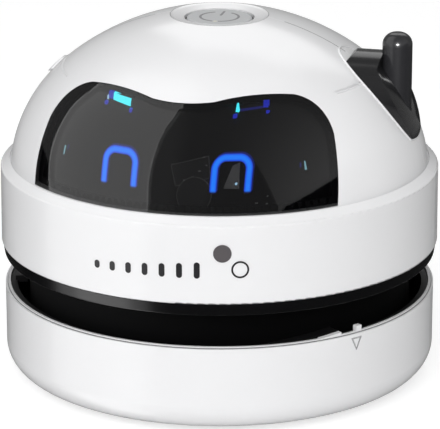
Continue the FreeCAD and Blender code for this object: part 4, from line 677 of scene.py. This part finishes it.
# %% [markdown]
# ## The mark on the bowl
# A small triangle on the bowl shows where it locks. It is a fine raised line on the real bowl, too
# thin for a bevel, so three straight strokes are bent round the bowl: across becomes an angle. Their
# grey is painted shade, for the shade along the raised line.

# %% Mark on the bowl
BOWL_RADIUS = 43.4
STROKE_HALF = 0.09
MARK_PROUD = 0.012
MARK_SUNK = -0.24
MARK_TURN = math.radians(50.9)
MARK = [(-1.22, 17.33), (1.22, 17.33), (0.0, 14.80)]


def mark_line(first, last):
    """A thin stroke from one corner of the mark to the next, bent round the bowl."""
    way = np.array(last) - np.array(first)
    side = np.array([-way[1], way[0]]) / np.hypot(*way) * STROKE_HALF
    line = between(np.array([first + side, last + side]), np.array([first - side, last - side]), 2)
    layers = []
    for lift in (MARK_PROUD, MARK_SUNK):
        turn = MARK_TURN + line[..., 0] / BOWL_RADIUS
        radius = BOWL_RADIUS + lift
        layers.append(np.stack([radius * np.sin(turn), -radius * np.cos(turn), line[..., 1]], -1) * MM)
    return shell(*layers)


strokes = [mark_line(first, last) for first, last in round_trip(MARK)]
piece("bowl_mark", strokes, mark_shade_grey, "bowl")
print("mark strokes:", len(strokes))

# %% [markdown]
# ## The print on the ring
# The front of the white ring carries a small pad-printed field. It gets a neutral level scale of
# seven bars, a filled dot and an outlined ring. Ink is a film of some hundredths of a millimetre,
# so every mark is a shell bent round the ring: across becomes an angle, and upwards stays.

# %% Ring print
RING_RADIUS = 44.0
INK = 0.012
BARS = 7
FIRST_BAR = -18.7
BAR_STEP = 4.4
BAR_FOOT = 32.5
BAR_WIDE = 1.15
LOWEST_BAR = 1.6
BAR_GROWTH = 0.27


def on_ring(flat, lift):
    """Bends (across, height) in millimetres round the ring, with a lift outwards."""
    turn = flat[..., 0] / RING_RADIUS
    radius = (RING_RADIUS + lift) * MM
    return np.stack([radius * np.sin(turn), -radius * np.cos(turn), flat[..., 1] * MM], -1)


def inked(flat, wrap=True):
    """A flat grid as a film of ink, half in the ring and half proud of it."""
    return shell(on_ring(flat, INK), on_ring(flat, -INK), wrap)


def bar(middle, foot, wide, high):
    """A bar with round ends: a circle whose upper half is moved up by the straight length."""
    outline = loop(wide / 2)
    outline[:, 1] += np.where(outline[:, 1] > 0, high - wide / 2, wide / 2)
    core = np.stack([np.zeros(len(outline)), np.clip(outline[:, 1], wide / 2, high - wide / 2)], -1)
    return between(core, outline, 3) + np.array([middle, foot])


def along(degrees):
    """The way round the ring for an angle: the angle in radians times the radius."""
    return math.radians(degrees) * RING_RADIUS


scale = [inked(bar(along(FIRST_BAR + BAR_STEP * index), BAR_FOOT, BAR_WIDE, LOWEST_BAR + BAR_GROWTH * index))
         for index in range(BARS)]
dot = between(loop(0.0), loop(1.75), 4) + np.array([along(14.0), 37.5])
hoop = between(loop(1.35), loop(1.7), 3) + np.array([along(18.4), 34.3])
piece("level_scale", scale, print_dark, "housing")
piece("level_dot", [inked(dot)], print_warm, "housing")
piece("level_hoop", [inked(hoop)], print_dark, "housing")
print("print marks:", len(scale) + 2)

# %% [markdown]
# ## The sign on the button
# The push button carries the usual sign for on and off, a broken circle with a bar, printed in
# grey, and a tiny white light in front. They lie flat on the button's top and ride with it.

# %% Button sign
BUTTON_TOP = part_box("power_button")[1][2] / MM
SIGN_RADIUS = 3.8
SIGN_STROKE = 0.5


def on_button(flat, lift):
    """Lays (across, back) in millimetres on the button's flat top."""
    return np.stack([flat[..., 0], flat[..., 1], np.full(flat.shape[:-1], BUTTON_TOP + lift)], -1) * MM


def arc(first, last, count=40):
    """A stroke along a circle from one angle to another, counted from the back, in degrees."""
    turn = np.radians(np.linspace(first, last, count))
    ray = np.stack([np.sin(turn), np.cos(turn)], -1)
    return between(ray * (SIGN_RADIUS - SIGN_STROKE / 2), ray * (SIGN_RADIUS + SIGN_STROKE / 2), 2)


def pressed(flat, wrap):
    """A flat grid as a film of ink on the button."""
    return shell(on_button(flat, INK), on_button(flat, -INK), wrap)


sign = [pressed(arc(26, 171), False), pressed(arc(189, 334), False),
        pressed(bar(0.0, 0.9, SIGN_STROKE, 3.6), True)]
piece("button_sign", sign, print_grey, "button")
light = between(loop(0.0, 24), loop(0.42, 24), 3) + np.array([0.0, -SIGN_RADIUS])
piece("button_light", [pressed(light, True)], chip_white, "button")
print("button top at %.2f mm" % BUTTON_TOP)

# %% [markdown]
# ## The brush's fibres
# The ring of bristles round the inlet is made of tufts, each a bundle of nylon fibres pressed
# into a hole of its holder. Particle hair could do this. Real fibres as thin tapered prisms are
# lighter here: a sunflower pattern places them in each tuft, and each leans outwards a little.

# %% Fibres
TUFTS = 40
FIBRES = 14
SIDES = 6
LEVELS = 4
TIP_SHARE = 0.72
LEAN = 0.03
GOLDEN = math.radians(137.508)
TUFT_RADIUS = 0.47 * MM
FIBRE_RADIUS = 0.075 * MM
RING_MIDDLE = 16.65 * MM
RING_SWAY = 0.9 * MM
lowest, highest = (np.array(corner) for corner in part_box("brush_bristles"))


def fibres():
    """Tapered six-sided prisms: tuft centres on a circle, a sunflower in each, all leaning outwards."""
    random = np.random.default_rng(7)
    tuft = np.arange(TUFTS)[:, None]
    spot = np.arange(FIBRES)[None, :]
    turn = 2 * np.pi * tuft / TUFTS
    ring = RING_MIDDLE + RING_SWAY * np.where(tuft % 2 == 1, 1.0, -1.0)
    reach = TUFT_RADIUS * np.sqrt((spot + 0.5) / FIBRES)
    swirl = GOLDEN * spot + random.uniform(0, 6.28, (TUFTS, 1))
    x = ring * np.cos(turn) + reach * np.cos(swirl)
    y = ring * np.sin(turn) + reach * np.sin(swirl)
    low = lowest[2] + random.uniform(0.0, 0.05, x.shape) * MM
    level = np.linspace(0.0, 1.0, LEVELS)
    side = np.linspace(0.0, 2 * np.pi, SIDES, endpoint=False)
    wide = FIBRE_RADIUS * (TIP_SHARE + (1 - TIP_SHARE) * level)
    lean = -LEAN * MM * (1 - level) ** 2
    px = x[..., None, None] + wide[:, None] * np.cos(side) + (lean * -np.cos(turn)[..., None])[..., None]
    py = y[..., None, None] + wide[:, None] * np.sin(side) + (lean * -np.sin(turn)[..., None])[..., None]
    pz = low[..., None, None] + (highest[2] - low)[..., None, None] * level[:, None] + 0 * side
    points = np.stack([px, py, pz], -1).reshape(-1, 3)
    column = np.arange(LEVELS * SIDES).reshape(LEVELS, SIDES)
    ahead = np.roll(column, -1, 1)
    walls = np.stack([column[:-1], ahead[:-1], ahead[1:], column[1:]], -1).reshape(-1, 4)
    foot = column[0][[[0, 3, 2, 1], [0, 5, 4, 3]]]
    head = column[-1][[[0, 1, 2, 3], [0, 3, 4, 5]]]
    one = np.concatenate([walls, foot, head])
    starts = np.arange(TUFTS * FIBRES)[:, None, None] * LEVELS * SIDES
    return points, (one[None] + starts).reshape(-1, 4)


brush = piece("brush_fibres", [fibres()], bristle, "bowl", smooth=True)
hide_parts("brush_bristles")
print("fibres:", TUFTS * FIBRES)

# %% [markdown]
# ## The ear's rounded edge
# The pod that carries the antenna stem is a soft, rounded black moulding. Its solid has sharp
# edges. A copy of its mesh is merged, flat faces are joined, and a Bevel modifier rounds what is
# left. The copy stands for the node, so the model's own mesh stays untouched.


# %% Rounded copy
EDGE_SEGMENTS = 3
EDGE_ANGLE = math.radians(35)
FLAT_ANGLE = math.radians(1.0)


def rounded_copy(node, name, width, finish):
    """A node's mesh merged and given rounded edges of a width in millimetres."""
    mesh = nodes[node].data.copy()
    mesh.name = name
    work = bmesh.new()
    work.from_mesh(mesh)
    bmesh.ops.remove_doubles(work, verts=work.verts, dist=1e-6)
    bmesh.ops.dissolve_limit(work, angle_limit=FLAT_ANGLE, verts=work.verts, edges=work.edges)
    work.to_mesh(mesh)
    work.free()
    mesh.materials.clear()
    mesh.materials.append(finish.material)
    item = bpy.data.objects.new(name, mesh)
    scene.collection.objects.link(item)
    round_off = item.modifiers.new("edge", "BEVEL")
    round_off.width = width * MM
    round_off.segments = EDGE_SEGMENTS
    round_off.limit_method = "ANGLE"
    round_off.angle_limit = EDGE_ANGLE
    round_off.use_clamp_overlap = True
    mesh.polygons.foreach_set("use_smooth", np.ones(len(mesh.polygons), bool))
    soft = item.modifiers.new("shade", "WEIGHTED_NORMAL")
    soft.keep_sharp = False
    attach(item, "housing")
    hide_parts(node)
    return item


ear = rounded_copy("antenna_base", "antenna_pod", 0.55, ear_black)
print("rounded pod:", len(ear.data.vertices))

# %% [markdown]
# ## Floor and studio light
# A white floor and large soft boxes give the even light of a catalogue picture. The floor is a
# little brighter for the camera and in mirrors, so that it reads as white and keeps its shadow.
# What polished black parts and the lens show is only their surroundings, so a studio builds those
# on purpose: a dark tent, one tall soft box at the front left, and black flags. Here they are
# cards on a sphere round the object, seen by mirror-like rays alone. Each is the surface between
# two rails of directions, an azimuth from the front and an elevation in degrees. The three cards
# below the others are for the waist's band, which tapers and mirrors the low front.

# %% Floor and world
FLOOR_HALF = 3.0
FLOOR_WHITE = (0.88, 0.88, 0.88)
FLOOR_DARK = (0.48, 0.48, 0.48)
FLOOR_GLOW = 0.65
near_side = np.array([(-FLOOR_HALF, -FLOOR_HALF, 0.0), (FLOOR_HALF, -FLOOR_HALF, 0.0)])
far_side = np.array([(-FLOOR_HALF, FLOOR_HALF, 0.0), (FLOOR_HALF, FLOOR_HALF, 0.0)])
floor_finish = Finish("floor", FLOOR_WHITE, 0.7)
camera_ray = floor_finish.make("ShaderNodeLightPath", {}, {}, "Is Camera Ray")
mirror_ray = camera_ray.sum("MAXIMUM", camera_ray.beside("Is Glossy Ray"))
seen = mirror_ray.sum("MAXIMUM", camera_ray.beside("Is Transmission Ray"))
grain = floor_finish.noise(6.0) * 0.02
shade = floor_finish.mix(seen * (0.98 + grain), FLOOR_WHITE + (1.0,), FLOOR_DARK + (1.0,))
floor_finish.set("Base Color", shade)
floor_finish.set("Emission Color", (1.0, 1.0, 1.0, 1.0))
floor_finish.set("Emission Strength", seen * FLOOR_GLOW)
sheet = between(near_side, far_side, 1)
floor = piece("floor", [(sheet.reshape(-1, 3), quads(2, 2, False))], floor_finish)
floor.visible_glossy = False

WORLD_STRENGTH = 0.42
world = bpy.data.worlds.new("studio")
scene.world = world
world.use_nodes = True
background = next(n for n in world.node_tree.nodes if n.type == "BACKGROUND")
background.inputs["Color"].default_value = (1.0, 1.0, 1.0, 1.0)
background.inputs["Strength"].default_value = WORLD_STRENGTH
print("floor and world ready")


# %% Mirror cards
def direction(rail):
    """Unit vectors for rows of azimuth and elevation in degrees."""
    turn, rise = np.radians(np.array(rail, float)).T
    return np.stack([np.cos(rise) * np.sin(turn), -np.cos(rise) * np.cos(turn), np.sin(rise)], -1)


def card(name, first, second, radiance, radius=0.55, steps=24):
    """The part of a sphere round the object between two rails, glowing evenly."""
    finish = Finish(name, (0.0, 0.0, 0.0), 1.0, Specular_IOR_Level=0.0)
    finish.set("Emission Color", (1.0, 1.0, 1.0, 1.0))
    finish.set("Emission Strength", radiance)
    grid = unit_rows(between(direction(first), direction(second), steps)) * radius + np.array(AIM)
    rows, columns = grid.shape[:2]
    item = piece(name, [(grid.reshape(-1, 3), quads(rows, columns, False))], finish)
    mirror_only(item)


def mirror_only(item):
    """Only mirror-like rays see it, and it throws no shadow."""
    item.visible_camera = False
    item.visible_diffuse = False
    item.visible_transmission = False
    item.visible_volume_scatter = False
    item.visible_shadow = False


LEFT_EDGE = [(-121, 52), (-115.4, 40.6), (-114.1, 38.3), (-110.0, 34.4), (-106.3, 29.6), (-103.2, 26.0),
             (-99.3, 21.2), (-97.0, 17.1), (-94.9, 12.8), (-92.5, 7.8), (-90.3, 2.8), (-88.6, -1.6),
             (-87.0, -6.3), (-82, -27)]
RIGHT_EDGE = [(-80, 86), (-55.9, 76.2), (-49.9, 72.3), (-39.6, 65.3), (-35.4, 58.7), (-31.8, 51.1),
              (-29.5, 43.8), (-28.0, 36.6), (-26.8, 29.5), (-25.7, 22.6), (-24.8, 15.7), (-23.9, 7.7),
              (-23.4, 0.2), (-23, -27)]
inner_left = [(a + 1.3, b + 0.3) for a, b in LEFT_EDGE]
inner_right = [(a - 0.9, b - 0.2) for a, b in RIGHT_EDGE]
card("soft_box_face", inner_left, inner_right, 1.36)
card("soft_box_left_edge", LEFT_EDGE, inner_left, 2.0)
card("soft_box_right_edge", inner_right, RIGHT_EDGE, 1.8)
card("flag_left", [(-116, 13), (-101.5, 8.8), (-95.7, 7.2), (-89.2, 3.5), (-85, 0)],
     [(-116, -27), (-101.5, -27), (-95.7, -27), (-88, -27), (-84, -27)], 0.0, 0.56)
card("flag_right", [(36, -3), (41.6, 0.5), (59.3, 8.6), (69.8, 12.4), (80.6, 15.9), (100, 22)],
     [(36, -27), (41.6, -27), (59.3, -27), (69.8, -27), (80.6, -27), (100, -27)], 0.0)
card("flag_middle", [(16, 43), (10.5, 30), (7.8, 18.8), (5.0, 3.0), (3, -8)],
     [(33, 43), (37.9, 27.9), (40.5, 15.9), (43.7, 1.9), (46, -8)], 0.17)
card("band_box_left", [(-84, -27), (-82, -64)], [(-70, -27), (-68, -64)], 1.1)
card("band_box", [(-70, -27), (-68, -64)], [(-36, -27), (-38, -64)], 2.4)
card("band_box_right", [(-36, -27), (-38, -64)], [(-25, -27), (-29, -64)], 1.1)
card("rear_box", [(150, 30), (150, 60)], [(210, 30), (210, 60)], 2.0)
print("cards: 10")

# %% [markdown]
# ## The tent behind the cards
# Past the cards, black plastic mirrors the studio's walls. A large ball round everything stands for
# them: nearly dark, grey on the right, and darkest below. A world texture could do it, but the world
# also lights the white body, and the ball is seen by mirror-like rays alone.

# %% Mirror tent
TENT_RADIUS = 2.5
TENT_TURNS = 72
TENT_RISES = 37
turns = np.linspace(0.0, 360.0, TENT_TURNS, endpoint=False)
rises = np.linspace(-90.0, 90.0, TENT_RISES)
angles = np.stack(np.meshgrid(turns, rises, indexing="ij"), -1).reshape(-1, 2)
points = direction(angles).reshape(TENT_TURNS, TENT_RISES, 3) * TENT_RADIUS + np.array(AIM)
tent_finish = Finish("tent", (0.0, 0.0, 0.0), 1.0, Specular_IOR_Level=0.0)
offset = tent_finish.make("ShaderNodeVectorMath", {"operation": "SUBTRACT"},
                          {0: tent_finish.place, 1: AIM}, "Vector")
unit = tent_finish.make("ShaderNodeVectorMath", {"operation": "NORMALIZE"}, {0: offset}, "Vector")
right_way = tent_finish.make("ShaderNodeSeparateXYZ", {}, {0: unit}, "X")
up_way = right_way.beside("Z")
back_way = right_way.beside("Y")
right_share = slope(right_way, 0.0, 1.0)
left_share = slope(right_way * -1.0, 0.12, 0.25)
right_wall = right_share * right_share * slope(back_way * -1.0, -0.55, -0.05) * 0.55
level = (right_wall + left_share * 0.08 + 0.17) * slope(up_way, -0.26, -0.12) + 0.03
tent_finish.set("Emission Color", tent_finish.mix(level, (0.0, 0.0, 0.0, 1.0), (1.0, 1.0, 1.0, 1.0)))
tent_finish.set("Emission Strength", 1.0)
tent = piece("tent", [(points.reshape(-1, 3), quads(TENT_TURNS, TENT_RISES, True))], tent_finish)
mirror_only(tent)
print("tent ready")


# %% [markdown]
# ## The lamps
# Soft boxes light the body from the front and from above. They are hidden from mirror-like rays,
# because the cards stand for them there. The antenna stem has a bright spot of its own, which comes
# from one small lamp that is linked to the stem alone, so it adds no light to the rest.

# %% Lamps
GLINT_POWER = 26.0
GLINT_RADIUS = 0.03
GLINT_AWAY = 0.6


def soft_box(name, azimuth, elevation, distance, wide, high, power):
    """A soft box that looks at the object from an azimuth and elevation round it."""
    out = Vector(direction([(azimuth, elevation)])[0])
    data = bpy.data.lights.new(name, "AREA")
    data.shape = "RECTANGLE"
    data.size = wide
    data.size_y = high
    data.energy = power
    item = bpy.data.objects.new(name, data)
    item.location = AIM + out * distance
    item.rotation_euler = (-out).to_track_quat("-Z", "Y").to_euler()
    item.visible_glossy = False
    scene.collection.objects.link(item)


soft_box("key", 4, 32, 1.2, 1.2, 0.9, 9.0)
soft_box("top", 0, 80, 1.0, 0.8, 0.8, 1.5)
glint_data = bpy.data.lights.new("stem_glint", "POINT")
glint_data.energy = GLINT_POWER
glint_data.shadow_soft_size = GLINT_RADIUS
glint = bpy.data.objects.new("stem_glint", glint_data)
glint.location = AIM + Vector(direction([(15, 19)])[0]) * GLINT_AWAY
scene.collection.objects.link(glint)
lit = bpy.data.collections.new("lit_by_glint")
lit.objects.link(nodes["antenna_stem"])
glint.light_linking.receiver_collection = lit
print("lamps ready")
